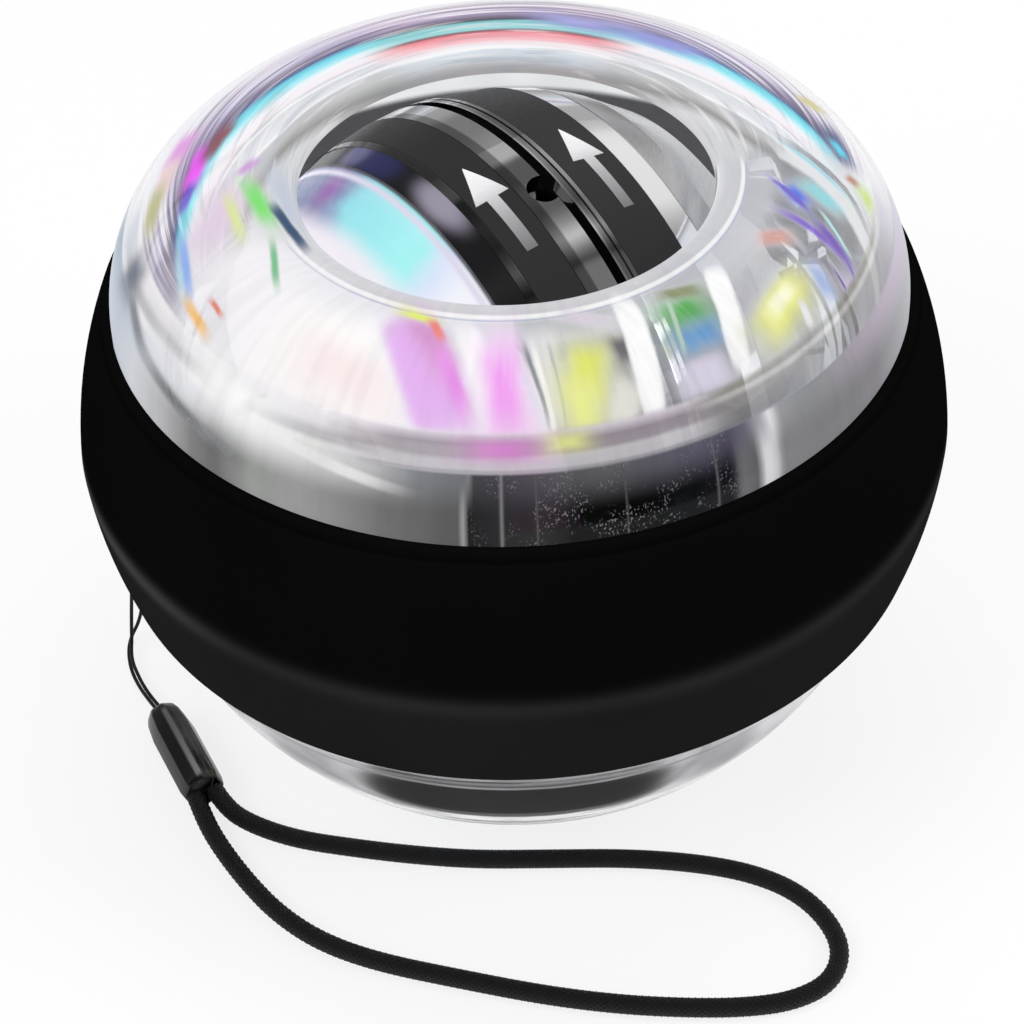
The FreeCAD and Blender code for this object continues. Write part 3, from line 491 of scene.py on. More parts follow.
def makeBead():
    top, mouth = Vector(bead["top"]), Vector(bead["mouth"])
    length = (mouth - top).length / mm
    count = bead["facets"]
    rings = [(min(along, length), radius) for along, radius in bead["rings"]]
    inner = rings[-1][1] - bead["mouthWall"]
    rings += [(length, inner), (length - bead["mouthDepth"], inner * 0.92)]
    turns = [2 * math.pi * facet / count for facet in range(count)]
    vertices = [(radius * math.cos(turn) * mm, radius * math.sin(turn) * mm, along * mm)
                for along, radius in rings for turn in turns]
    mesh = newMesh("strapBead", vertices, tubeFaces(len(rings), count, False))
    work = bmesh.new()
    work.from_mesh(mesh)
    bmesh.ops.recalc_face_normals(work, faces=work.faces)
    limit = math.radians(bead["bevelFrom"])
    sharp = [edge for edge in work.edges if edge.calc_face_angle(0) > limit]
    bmesh.ops.bevel(work, geom=sharp, offset=bead["edge"] * mm, segments=3, profile=0.5,
                    affect="EDGES", clamp_overlap=True)
    work.to_mesh(mesh)
    work.free()
    smoothMesh(mesh, bead["sharpest"])
    turn = (mouth - top).to_track_quat("Z", "X").to_matrix().to_4x4()
    paint = Paint("bead plastic")
    here = paint.place()
    grain = paint.noise(here, 4000.0, 2.0)
    x, y, z = paint.split(here)
    # painted highlight: glowing stripes on the facets that face the overhead light
    toward = turn.inverted() @ Vector(bead["highlightToward"])
    about = math.degrees(math.atan2(toward.y, toward.x))
    paintedHighlight = (0, 0, 0)
    for place, width, level in bead["paintedHighlights"]:
        middle = math.radians(about + place)
        off = paint.degrees(y * math.cos(middle) - x * math.sin(middle),
                            x * math.cos(middle) + y * math.sin(middle))
        paintedHighlight = paint.mix(paint.fall((off / width) ** 4.0), paintedHighlight, shown([level]))
    lowest, lowFull, highest, highFull = bead["highlightEnds"]
    ends = paint.span(z, lowest, lowFull) * paint.span(z, highest, highFull)
    paintedHighlight = paint.mix(paint.span(z, *bead["highlightLoss"]), paintedHighlight, (0, 0, 0))
    paintedHighlight = paint.mix(ends, (0, 0, 0), paintedHighlight)
    rough = paint.span(grain, 0.3, 0.7, 0.13, 0.2)
    shader = paint.surface(Base_Color=bead["colour"], Roughness=rough, Specular_IOR_Level=0.45,
                           Emission_Color=paintedHighlight, Emission_Strength=1.0,
                           Normal=paint.bump(grain, 0.03, 0.00001))
    piece = addPiece("strapBead", mesh, Matrix.Translation(top) @ turn, [outputOf(paint, shader)])
    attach(piece, "housing")
    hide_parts("lanyard_bead")
    return piece


def makeStrap():
    beadPiece = makeBead()
    loopRoute, cordRoute = routeOf(thinLoop), routeOf(wristCord)
    loopData = cordSpline("strapThinLoop", loopRoute)
    loopData.bevel_depth = thinLoop["diameter"] / 2
    loopData.bevel_resolution = 5
    loopData.use_fill_caps = True
    loopData.materials.append(cordPaint("thin cord", (0.006, 0.006, 0.0065), 5000.0))
    loop = addPiece("strapThinLoop", loopData)
    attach(loop, "housing")
    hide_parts("lanyard_loop")
    path = centreline("wristRoute", cordRoute)
    mesh = braidedTube("strapWristCord", path, wristCord)
    braid = cordPaint("braided cord", (0.007, 0.007, 0.0075), 9000.0)
    cord = addPiece("strapWristCord", mesh, None, [braid])
    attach(cord, "housing")
    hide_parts("wrist_cord")


makeStrap()
print("strap made")

# Clear shells

dome = {
    "corners": [
        (31.45, -2.5), (32.5, -2.5), (32.5, 11.7, 11.2), (26.9, 21.399, 9.8), (19.0, 22.25, 1.45),
        (16.6, 21.4, 1.45), (18.3, 19.95), (21.3, 20.7, -9.0), (30.3, 11.7), (30.3, 3.5),
        (28.2, 3.5), (28.2, 1.3), (30.3, 1.3), (30.3, 0.0), (31.45, 0.0),
    ],
    "edge": 0.12,
    "bending": 1.49,  # of light in the clear plastic
    "innerTube": (21.3, 11.7, 9.6),  # its inner face lies within this radius of the shoulder's middle
}

# The light that the clear plastic catches, as colours that cover it in part. Colours are in percent
# as a screen shows them, and grey has one part only. Roll is in degrees about the shoulder's
# middle, 0 at the wall and 90 on top. Turn is in degrees about the ball's middle, 0 at the front
# and 90 on the right.
domeLight = {
    "rollRange": (50.0, 125.0),
    "backRim": [
        (50, 97, 96, 99), (60, 95, 93, 96), (70, 92, 87, 93), (77, 87, 80, 89), (83, 70, 63, 76),
        (86.3, 38, 31, 42), (88.2, 13, 14, 24), (89.6, 44, 76, 78), (94.4, 60, 86, 87), (95.8, 50, 24, 28),
        (97.4, 95, 53, 57), (100.5, 99, 72, 75), (103.5, 99, 88, 90), (107.8, 97, 94, 96), (109.2, 100),
        (110.6, 86, 89, 93), (114, 82, 83, 85), (117, 64, 62, 62), (121, 88, 88, 89),
    ],
    "sideRim": [
        (50, 96, 96, 98), (62, 94, 92, 95), (71, 88, 84, 90), (79, 78, 74, 86), (84, 44, 38, 50),
        (86.5, 24, 34, 58), (88.4, 36, 84, 92), (91.5, 60, 94, 98), (94.5, 96, 98, 100), (98.6, 99, 95, 97),
        (100.2, 84, 84, 87), (101, 100), (102, 86, 86, 89), (107.4, 93, 93, 95), (108.4, 100),
        (109.6, 80, 80, 82), (113, 78), (117, 60, 59, 58), (121, 86, 86, 87),
    ],
    "crown": (95, 95, 97.5),
    "crownCover": (0.2, 0.72),  # on the right and on the left
    "lipCover": 0.78,
    "lipRange": (101.0, 116.5),
    "lip": [
        (101, 90, 90, 93), (102.3, 66, 69, 80), (102.9, 100), (103.7, 100), (104.3, 80, 80, 82),
        (109, 84, 84, 86), (112.8, 88, 88, 90), (113.6, 100), (114.8, 52, 53, 56), (116.5, 90, 90, 91),
    ],
    # place in plan and half sizes (mm), direction (degrees), colour, cover, crispness
    "spots": [
        (-14.5, -20.7, 6.9, 4.4, -32, 100, 99, 98.5, 0.97, 0.9),
        (-19.6, -12.6, 6, 4.6, -50, 97, 96, 97.5, 0.92, 0.6),
        (-13.3, -24.9, 5.6, 1.5, -24, 99, 97, 97, 0.95, 1),
        (-12.2, -23.4, 4.3, 1.6, -37, 98.5, 92.5, 92.5, 0.95, 0.7),
        (-6.5, -23.9, 5.6, 2.1, -74, 90, 70, 95, 0.96, 2),
        (-5.9, -21.4, 3.6, 1.2, -68, 84, 56, 80, 0.85, 0.5),
        (-4.2, -25.4, 3.2, 0.7, -72, 92, 56, 92, 0.92, 0.6),
        (-6.9, -18.2, 1.7, 0.6, -32, 90, 95, 38, 0.92, 0.6),
        (-5.5, -20.1, 1.5, 0.4, -75, 95, 50, 45, 0.9, 0.8),
        (-2.6, -23.4, 4.4, 1.05, -76, 100, 99, 100, 0.97, 1.2),
        (-0.6, -24.5, 4.8, 1.3, 90, 97, 82, 97, 0.95, 0.8),
        (-0.6, -26, 3.4, 1.4, -87, 95, 60, 95, 0.95, 0.5), (2.5, -25.2, 4.4, 1.2, -83, 92, 91, 94, 0.9, 1),
        (1.7, -25.4, 3.3, 0.17, -76, 55, 57, 62, 0.85, 1), (2.3, -26, 3.7, 0.2, -78, 100, 100, 100, 0.96, 1),
        (3.3, -25.8, 3.4, 0.13, -80, 62, 66, 74, 0.8, 1), (5.6, -25.4, 3.8, 2.4, -84, 93, 93, 76, 0.93, 0.5),
        (5.4, -24.6, 2.2, 1.5, 80, 90, 93, 40, 0.92, 0.5),
        (4.9, -27.3, 2.2, 1.3, -75, 95, 97, 60, 0.92, 0.5), (8.2, -26.9, 1.2, 1.7, -21, 93, 92, 89, 0.9, 1),
        (8.3, -22.9, 1.5, 1, -67, 44, 41, 44, 0.9, 0.8), (5.6, -19.4, 2.1, 1, -24, 87, 83, 88, 0.9, 0.8),
        (12.8, -19, 2.7, 2, 30, 36, 70, 34, 0.93, 0.6), (12.6, -16.7, 2, 0.9, 10, 55, 58, 42, 0.9, 0.8),
        (13.9, -21.3, 2.7, 1.3, 30, 42, 64, 84, 0.9, 0.6), (14, -24.1, 2.5, 1.2, 28, 87, 84, 92, 0.93, 1),
        (12.2, -20.4, 2.6, 0.2, -80, 78, 88, 80, 0.8, 1), (9.4, -22.5, 5.9, 1, -79, 100, 100, 100, 0.98, 3),
        (16.1, -18.4, 4.9, 0.9, -80, 100, 100, 100, 0.98, 3),
        (20.7, -17.4, 4.2, 1.8, 58, 80, 81, 66, 0.9, 0.8), (20.3, -17, 3.6, 1.2, 62, 94, 95, 54, 0.96, 0.7),
        (20.3, -16.7, 1.8, 0.55, 60, 100, 100, 88, 0.97, 0.7),
        (20.3, -10.3, 1.6, 1.1, 7, 88, 68, 64, 0.85, 0.8), (22.2, -17.2, 1, 0.35, -66, 95, 95, 95, 0.85, 1),
        (23.7, -13.8, 1.7, 0.8, -63, 62, 70, 88, 0.85, 0.7),
        (27.3, -14.7, 1.2, 2.7, -38, 78, 73, 83, 0.85, 0.8),
        (26.9, -13.9, 2.2, 1.2, -53, 85, 76, 94, 0.88, 0.7),
        (25.9, -13.9, 2.5, 0.15, -56, 50, 42, 66, 0.8, 1), (26.8, -12.8, 2.7, 0.13, -66, 56, 46, 74, 0.8, 1),
        (23.3, -8.8, 3.3, 0.45, -40, 55, 44, 84, 0.9, 0.8),
        (22.5, -4.9, 1.6, 0.9, -64, 40, 50, 93, 0.9, 0.7), (24.5, -4.5, 2.2, 0.9, -48, 62, 90, 93, 0.8, 0.8),
        (28.7, -2.7, 2, 1, -68, 80, 90, 50, 0.88, 0.7), (30.3, -2.4, 2, 0.8, -85, 56, 78, 70, 0.85, 0.8),
        (30, -5.9, 1.5, 0.4, -90, 34, 44, 62, 0.85, 0.8), (26.7, 3.4, 2.9, 0.9, -77, 30, 34, 52, 0.88, 0.8),
        (26.7, 2.8, 1.1, 0.4, -71, 36, 84, 95, 0.9, 0.8), (25.2, 9.2, 1.3, 0.8, -45, 82, 78, 52, 0.8, 0.8),
        (27.4, -1.1, 0.6, 0.6, -29, 74, 50, 42, 0.8, 0.8), (24.5, -1, 4.1, 0.22, -52, 62, 86, 92, 0.85, 1),
        (22, -4.6, 3.1, 0.25, -59, 50, 44, 84, 0.85, 1), (24.9, -9.4, 2.3, 0.5, -54, 52, 40, 78, 0.8, 0.8),
        (25.2, -8.3, 2.1, 0.15, -62, 72, 95, 96, 0.9, 1), (6.7, 20.6, 3.8, 0.8, -21, 56, 56, 88, 0.7, 0.6),
        (13.4, 17.2, 4.2, 0.8, -32, 52, 54, 88, 0.75, 0.6), (-22.3, -5, 4.6, 1.6, 70, 94, 86, 94, 0.85, 0.6),
        (-17.4, -2.9, 4.6, 0.8, -74, 78, 81, 87, 0.85, 0.7),
        (-24.6, 1.8, 2.8, 0.7, 80, 95, 36, 98, 0.96, 0.8), (-26.2, 5.8, 2.4, 1, 72, 88, 60, 88, 0.85, 0.8),
        (-23, 5.2, 3, 0.6, 69, 52, 27, 33, 0.9, 1), (-25.1, -1.9, 1.7, 0.4, 80, 45, 32, 82, 0.9, 0.8),
        (-27.2, 2.1, 2.5, 0.7, 79, 93, 80, 80, 0.8, 0.8), (-28, -1.3, 3, 0.7, 86, 72, 72, 50, 0.85, 0.8),
        (-24.8, -9.8, 3.4, 0.35, -83, 60, 72, 96, 0.9, 0.8),
        (-23.8, -15.1, 2.3, 0.35, -66, 97, 76, 42, 0.9, 0.7),
        (-22.2, -15.1, 1, 0.2, -65, 96, 52, 42, 0.8, 0.7),
        (-19.4, -3.3, 3.1, 0.8, -70, 50, 90, 45, 0.94, 0.7),
        (-21.1, -5.5, 3, 0.5, -77, 89, 93, 66, 0.9, 0.7),
        (-17.8, -11.4, 3.1, 0.3, -84, 46, 76, 54, 0.9, 0.9),
        (-16.9, -6.7, 3.5, 0.4, -65, 18, 30, 44, 0.94, 1.5),
        (-20.4, 1.4, 1.3, 0.4, 60, 85, 66, 90, 0.8, 0.8),
    ],
    # the line under the crown by roll: on the left, at the front and on the right
    "shoulderRange": (30.0, 50.0),
    "shoulders": [
        [(30, 93), (34, 92), (36, 74, 73, 74), (38, 74, 73, 74), (41, 90, 89, 90), (45, 95, 94, 95),
         (50, 98, 96, 97)],
        [(30, 50, 50, 52), (32.4, 64, 63, 65), (33.4, 76, 75, 77), (37.2, 77, 76, 78), (38.8, 62, 59, 62),
         (42.5, 60, 56, 60), (46.5, 86, 83, 87)],
        [(30, 56, 57, 59), (36, 62, 61, 62), (41, 66, 65, 64), (42.5, 86, 85, 84), (43.3, 86, 85, 84),
         (44.5, 66, 65, 62), (48, 76, 75, 70)],
    ],
    "shoulderCover": (0.9, 0.55),  # at the front and on the right
    # the wall by turn, near the shoulder and down by the band: painted light, and painted shade where the
    # unlit inside shows through
    "wallTop": [
        (-90, 70, 74, 80), (-72, 76, 79, 84), (-62, 84, 86, 89), (-48, 88, 88, 89), (-38, 92), (-26, 86),
        (-19, 72, 72, 73), (-13, 50, 51, 53), (-6.9, 43, 44, 46), (-6.5, 60, 60, 61), (-6.1, 24, 24, 26),
        (-2, 26, 25, 28), (11, 36, 36, 37), (26, 36, 35, 41), (30, 32, 30, 38), (33, 42, 41, 46),
        (36, 66, 66, 68), (37.4, 90, 90, 91), (39, 60, 60, 62), (46, 55, 56, 57), (60, 68, 64, 69),
        (74, 78, 74, 80), (90, 86, 84, 90),
    ],
    "wallLow": [
        (-90, 84, 87, 90), (-75, 78, 80, 84), (-66, 82, 83, 85), (-56, 72, 72, 73), (-49, 50), (-44, 42),
        (-38, 60, 61, 60), (-28, 60), (-18, 44), (-7.4, 34), (-7, 62), (-6.5, 6), (-3, 13, 13, 14), (3, 16),
        (6.6, 10), (7, 4), (16, 3), (24, 5, 6, 7), (30, 10, 9, 12), (31.2, 42, 42, 43), (34, 38, 38, 39),
        (35.3, 86, 86, 87), (37, 80, 80, 81), (38.2, 50, 50, 51), (46, 49, 49, 50), (60, 54, 53, 55),
        (76, 72, 72, 74), (90, 84, 84, 86),
    ],
    "wallCover": 0.985,
    # turn and roll, half sizes and direction (degrees), colour, cover, crispness
    "wallSpots": [
        (-57, 31, 8, 5, -20, 90, 90, 92, 0.9, 0.6), (-69.5, 29.5, 8, 2.4, -45, 50, 50, 52, 0.85, 0.7),
        (-53, 19.5, 11, 2.6, -24, 46, 46, 47, 0.85, 0.7), (-30, 29, 14, 2.2, -24, 92, 92, 92, 0.95, 1.2),
        (-44, 38, 9, 7, -20, 99, 99, 99, 0.92, 0.6), (-77, 37, 3.5, 9, 0, 42, 44, 50, 0.85, 0.6),
        (-11, 39.5, 7, 2.6, 0, 60, 58, 60, 0.8, 1), (-2, 40.5, 5, 4, 0, 82, 44, 78, 0.8, 0.5),
        (7.5, 42, 3, 3.5, 0, 93, 94, 62, 0.8, 0.5),
    ],
    # lighter upright lines on the wall: turn, width and level
    "wallLines": [(-2.0, 0.25, 0.5), (2.6, 0.15, 0.3), (14.5, 0.15, 0.3), (27.5, 0.2, 0.34)],
    "frostLight": (9.6, 11.9, (96, 96.5, 97)),  # a frosted band of the inner wall, its white glow painted light: lowest, highest, colour
    "underLip": ((80, 81, 83), 0.7),
}


def litPlastic(paint, colour, cover, ripple):
    # clear plastic under light of a colour that covers it in part
    clear = paint.surface(Base_Color=(0.97, 0.98, 0.99), Roughness=0.02, IOR=dome["bending"],
                          Transmission_Weight=1.0, Normal=ripple)
    veil = paint.surface(Base_Color=paint.mix(0.9, colour, (0, 0, 0)), Roughness=0.6,
                         Specular_IOR_Level=0.0, Emission_Color=colour, Emission_Strength=0.88)
    paint.material.cycles.emission_sampling = "NONE"
    return outputOf(paint, paint.node("MixShader", None, {0: cover, 1: clear, 2: veil}))


def overlay(paint, share, newColour, newCover, colour, cover):
    return paint.mix(share, colour, newColour), cover + share * (newCover - cover)


def daub(paint, flat, patches, colour, cover, strength=None):
    # patches of colour and cover, one over the other
    for x, y, long, wide, turn, red, green, blue, newCover, crisp in patches:
        share = paint.patch(flat, (x, y), (long, wide), turn, crisp)
        if strength is not None:
            share = share * strength
        colour, cover = overlay(paint, share, shown((red, green, blue)), newCover, colour, cover)
    return colour, cover


def domeOutsidePaint():
    paint = Paint("dome plastic, outer face")
    here = paint.place()
    x, y, z = paint.split(here)
    warp = paint.noise(here, 260.0, 3.0) - 0.5
    plain = paint.combine(x / mm, y / mm, 0.0)
    flat = paint.vector("ADD", plain, paint.combine(warp * 0.5, warp * -0.35, 0.0))
    reach = paint.vector("LENGTH", plain, out=1)
    heading = paint.vector("NORMALIZE", plain)
    right, back, _ = paint.split(heading)
    turn = paint.degrees(right, -back)
    roll = paint.degrees(z / mm - dome["innerTube"][1], reach - dome["innerTube"][0])

    def lifted(direction, share):
        return paint.vector("ADD", direction, paint.combine(0.0, 0.0, roll * share))

    threads = paint.noise(lifted(heading, 0.23), 1.6, 4.0, 0.6)
    lines = paint.noise(lifted(heading, 0.42), 1.4, 2.0, 0.5)
    rays = paint.noise(lifted(paint.vector("MULTIPLY", heading, (16, 16, 16)), 0.012), 1.5, 3.0)
    atFront = paint.span(back, -0.35, -0.62)

    front = 1 - back
    rimRoll = roll + (21.5 + right * 5.5) * front * front + (threads - 0.5) * 1.6
    rims = [paint.ramp(rimRoll, *domeLight["rollRange"], shownStops(domeLight[rim]))
            for rim in ("backRim", "sideRim")]
    rim = paint.mix(paint.span(right * right, 0.12, 0.36), rims[0], rims[1])
    onRight = paint.span(right, -0.2, 0.2)
    byRim = paint.span(back, -0.62, -0.2) * (1 - onRight) + paint.span(back, -0.1, 0.2) * onRight
    rimCover = byRim * paint.span(rimRoll, 58.0, 82.0, 0.1, 0.88)
    outward = paint.span(rimRoll, 90.0, 80.0)
    rim = paint.mix(paint.span(lines, 0.5, 0.62) * outward * 0.75, rim, (1, 1, 1))
    rim = paint.mix(paint.span(lines, 0.47, 0.38) * outward * 0.6, rim, (0.10, 0.08, 0.16))
    rim = paint.mix(paint.span(threads, 0.54, 0.64) * (1 - outward) * 0.4, rim, (1, 1, 1))
    rim = paint.mix(paint.span(threads, 0.46, 0.36) * (1 - outward) * 0.3, rim, (0.22, 0.30, 0.36))

    onCrown = paint.span(roll, 42.0, 49.0)
    lip = paint.span(roll, 101.0, 102.4)
    edge = paint.ramp(roll, *domeLight["lipRange"], shownStops(domeLight["lip"]))
    colour = paint.mix(lip, shown(domeLight["crown"]), edge)
    cover = onCrown * paint.maths("MAXIMUM", lip * domeLight["lipCover"],
                                  paint.span(right, 0.1, -0.5, *domeLight["crownCover"]))
    colour = paint.mix(paint.span(rimCover, 0.1, 0.5), colour, rim)
    cover = paint.maths("MAXIMUM", cover, rimCover)

    raked = paint.span(turn, -12.0, 0.0) * paint.span(turn, 44.0, 32.0) * paint.span(rays, 0.5, 0.3)
    streaks = onCrown * (1 - raked * 0.22)
    colour, cover = daub(paint, flat, domeLight["spots"], colour, cover, streaks)

    top, bottom = [paint.ramp(turn, -90, 90, shownStops(domeLight[wall]))
                   for wall in ("wallTop", "wallLow")]
    wall = paint.mix(paint.span(roll, 14.0, 31.0), bottom, top)
    for place, width, level in domeLight["wallLines"]:
        wall = paint.mix(paint.fade(turn - place, width) * 0.7, wall, (level ** 2,) * 3)
    speckle = paint.noise(paint.vector("MULTIPLY", here, (1, 1, 0.6)), 6500.0, 1.0)
    dark = paint.span(turn, -7.0, -5.5) * paint.span(turn, 34.0, 31.0)
    flecks = (paint.span(speckle, 0.57, 0.68) * paint.span(paint.noise(here, 420.0, 2.0), 0.44, 0.6)
              * dark)
    wall = paint.mix(flecks, wall, (0.16, 0.16, 0.17))
    lit = paint.noise(here, 300.0, 2.0)
    share = paint.span(roll, 33.5, 31.0) * paint.span(back, 0.3, 0.0)
    colour, cover = overlay(paint, share, wall, domeLight["wallCover"], colour, cover)

    wavyRoll = roll + (lit - 0.5) * 0.4
    left, middle, onRight = [paint.ramp(wavyRoll, *domeLight["shoulderRange"], shownStops(stops))
                             for stops in domeLight["shoulders"]]
    shoulder = paint.mix(paint.span(turn, -30.0, -15.0), left, middle)
    shoulder = paint.mix(paint.span(turn, 24.0, 34.0), shoulder, onRight)
    share = (paint.span(roll, 30.5, 32.5) * paint.span(roll, 48.0, 45.5)
             * paint.span(back, 0.1, -0.3))
    colour, cover = overlay(paint, share, shoulder,
                            paint.span(turn, 24.0, 34.0, *domeLight["shoulderCover"]), colour, cover)
    spread = paint.combine(turn, roll, 0.0)
    colour, cover = daub(paint, spread, domeLight["wallSpots"], colour, cover)
    colour = paint.mix(atFront * paint.span(rays, 0.4, 0.65, 0.0, 0.06), colour, (0, 0, 0))
    ripple = paint.noise(here, 160.0, 2.0)
    return litPlastic(paint, colour, cover, paint.bump(ripple, 0.05, 0.0006))


def domeInsidePaint():
    paint = Paint("dome plastic, inner face")
    here = paint.place()
    x, y, z = paint.split(here)
    up = z / mm
    reach = paint.vector("LENGTH", paint.combine(x, y, 0.0), out=1) / mm
    cloud = paint.noise(here, 90.0, 2.0)
    low, high, frostLightColour = domeLight["frostLight"]
    # painted light: the frosted band glows white
    frostLight = paint.span(up, low, low + 0.8) * paint.span(up, high + 0.5, high)
    lipColour, lipCover = domeLight["underLip"]
    lip = paint.span(reach, 22.5, 20.5) * lipCover
    colour = paint.mix(frostLight, shown(lipColour), shown(frostLightColour))
    cover = paint.maths("MAXIMUM", frostLight * paint.span(cloud, 0.3, 0.7, 0.85, 1.0), lip)
    return litPlastic(paint, colour, cover, paint.bump(cloud, 0.04, 0.0006))


cupLight = {
    # painted light, and painted shade where the dark inside shows through: turn and height from the
    # ball's middle (degrees, mm), half sizes, direction, colour, cover, crispness
    "patches": [
        (-40, -18, 9, 4.5, 0, 86, 86, 87, 0.75, 1), (39, -18.5, 9, 4.5, 0, 86, 86, 87, 0.75, 1),
        (-34, -16.8, 7.5, 3.6, 0, 72, 72, 73, 0.85, 1.5), (30, -17.2, 7, 3.6, 0, 70, 70, 71, 0.85, 1.5),
        (-1.5, -17.3, 25.5, 3.6, 0, 20, 20, 20.5, 0.97, 4), (-2, -20.6, 22, 0.6, 0, 34, 34, 35, 0.9, 1),
        (-2, -22.2, 42, 0.5, 0, 100, 100, 100, 0.92, 1.5), (-2, -24.8, 52, 0.9, 0, 76, 76, 77, 0.75, 1),
        (-2, -14.5, 42, 0.2, 0, 62, 62, 63, 0.9, 1),
    ],
    "grain": -12.5,  # the height under which the plastic has a faint grain
}


def cupPaint():
    paint = Paint("clear cup plastic")
    here = paint.place()
    x, y, z = paint.split(here)
    up = z / mm - grooveHeight
    flat = paint.combine(paint.degrees(x, -y), up, 0.0)
    cloud = paint.noise(here, 160.0, 3.0)
    colour = (0.9, 0.9, 0.92)
    cover = paint.span(cloud, 0.4, 0.7, 0.0, 0.08) * paint.span(up, cupLight["grain"],
                                                                 cupLight["grain"] - 0.5)
    colour, cover = daub(paint, flat, cupLight["patches"], colour, cover)
    colour = paint.mix(paint.span(cloud, 0.35, 0.65, 0.0, 0.25), colour, (0.02, 0.02, 0.02))
    return litPlastic(paint, colour, cover, paint.bump(cloud, 0.05, 0.0006))


def makeShells():
    points = softened(outlinePoints(dome["corners"], 24), dome["edge"])
    mesh = turned("domeShell", points)
    piece = addPiece("domeShell", mesh, ballFrame, [domeOutsidePaint(), domeInsidePaint()])
    tube = dome["innerTube"]
    for face in mesh.polygons:
        reach = math.hypot(face.center.x, face.center.y) / mm
        up = face.center.z / mm
        away = math.hypot(reach - tube[0], up - tube[1]) if up > tube[1] else reach - tube[0]
        face.material_index = 0 if away > tube[2] else 1
    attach(piece, "housing")
    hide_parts("upper_shell")
    paintNode("lower_shell", cupPaint())


makeShells()
print("shells made")

# Grip band

band = {
    "corners": [
        (32.55, -11.0), (34.3, -11.0, 0.5), (34.8, -10.5, 40.0), (36.5, -1.2, 40.0),
        (33.6, 10.95), (33.25, 10.95), (33.25, 11.55, 0.5), (32.75, 12.05), (32.55, 12.05),
    ],
    "edge": 0.18,
    "colour": (0.0033, 0.0033, 0.0034),
    # painted reflection of the pale floor, on the band below the belly
    "floorReflectionColour": (0.0135, 0.0135, 0.0138),
    "bellyHighlightColour": (0.026, 0.026, 0.0265),  # painted highlight: a soft line along the belly, brighter on the left
    "leftHighlightColour": (0.07, 0.07, 0.071),
    "bellyHighlightWidth": 0.9,
    "belly": -1.2,
    "roughness": 0.55,
}


def makeBand():
    paint = Paint("black silicone")
    here = paint.place()
    grain = paint.noise(here, 2600.0, 2.0)
    cloud = paint.noise(here, 60.0, 2.0)
    x, y, z = paint.split(here)
    up = z / mm
    # painted reflection of the floor below the belly, and a painted highlight along the belly that is
    # brighter on the left
    colour = paint.mix(paint.span(up, band["belly"] + 0.9, band["belly"] - 0.7), band["colour"],
                       band["floorReflectionColour"])
    line = paint.mix(paint.span(x, -0.02, -0.034), band["bellyHighlightColour"], band["leftHighlightColour"])
    colour = paint.mix(paint.fade(up - band["belly"], band["bellyHighlightWidth"]) * 0.7, colour, line)
    shader = paint.surface(
        Base_Color=paint.mix(paint.span(cloud, 0.3, 0.7, 0.0, 0.15), colour, (0.001, 0.001, 0.001)),
        Roughness=paint.span(cloud, 0.3, 0.7, band["roughness"] - 0.04, band["roughness"] + 0.05),
        Specular_IOR_Level=0.0,
        Normal=paint.bump(grain, 0.12, 0.00004))
    mesh = turned("gripBand", softened(outlinePoints(band["corners"], 20), band["edge"], 12),
                  sides=256)
    piece = addPiece("gripBand", mesh, ballFrame, [outputOf(paint, shader)])
    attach(piece, "housing")
    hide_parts("grip_band")


makeBand()
print("band made")

# Metals, plastics and small parts


def metalPaint(name, colour, rough, streaks=0.0, stretch=(1, 1, 1)):
    paint = Paint(name)
    here = paint.vector("MULTIPLY", paint.place(), stretch)
    grain = paint.noise(here, 900.0, 4.0)
    shade = paint.mix(grain, [0.86 * part for part in colour], [1.08 * part for part in colour])
    shader = paint.surface(Base_Color=shade, Metallic=1.0,
                           Roughness=paint.span(grain, 0.25, 0.75, rough * 0.8, rough * 1.25),
                           Normal=paint.bump(grain, streaks, 0.00003))
    return outputOf(paint, shader)


def plasticPaint(name, colour, rough, bump=0.1, gloss=0.5):
    paint = Paint(name)
    grain = paint.noise(paint.place(), 3000.0, 2.0)
    shade = paint.mix(grain, [0.92 * part for part in colour], [1.05 * part for part in colour])
    shader = paint.surface(Base_Color=shade, Specular_IOR_Level=gloss,
                           Roughness=paint.span(grain, 0.3, 0.7, rough * 0.9, rough * 1.1),
                           Normal=paint.bump(grain, bump, 0.00003))
    return outputOf(paint, shader)


def chromePaint():
    # painted reflection: the base colour steps lighter and darker by mm along the axle, standing in for the
    # light each turned step mirrors, and fine turning marks
    paint = Paint("bright plated alloy")
    along, out, turn = paint.aboutAxle()
    marks = paint.noise(paint.combine(along * 9.0, out * 0.2, 0.0), 1.0, 3.0)
    shade = paint.ramp(along, -13, 13, [
        (place, (level, level, level * 1.01))
        for place, level in ((-6.4, 0.10), (-6.2, 0.30), (-2.8, 0.30), (-1.8, 0.34), (-1.7, 0.86),
                             (0.85, 0.86), (0.95, 0.42), (1.95, 0.42), (2.1, 0.86), (6.9, 0.88),
                             (7.2, 1.0), (8.9, 1.0))])
    shade = paint.mix(marks * paint.span(along, 6.5, 7.2, 0.3, 0.1), shade, (0.2, 0.2, 0.2))
    shader = paint.surface(Base_Color=shade, Metallic=1.0,
                           Roughness=paint.span(marks, 0.3, 0.7, 0.06, 0.11),
                           Normal=paint.bump(marks, 0.05, 0.00003))
    return outputOf(paint, shader)


chrome = chromePaint()
satin = metalPaint("satin alloy", (0.62, 0.62, 0.63), 0.2, 0.12, (6, 1, 1))
steel = metalPaint("steel", (0.56, 0.57, 0.58), 0.25)
bronze = metalPaint("bronze", (0.5, 0.4, 0.26), 0.35)
copper = metalPaint("copper wire", (0.72, 0.32, 0.14), 0.35, 0.5, (12, 1, 1))
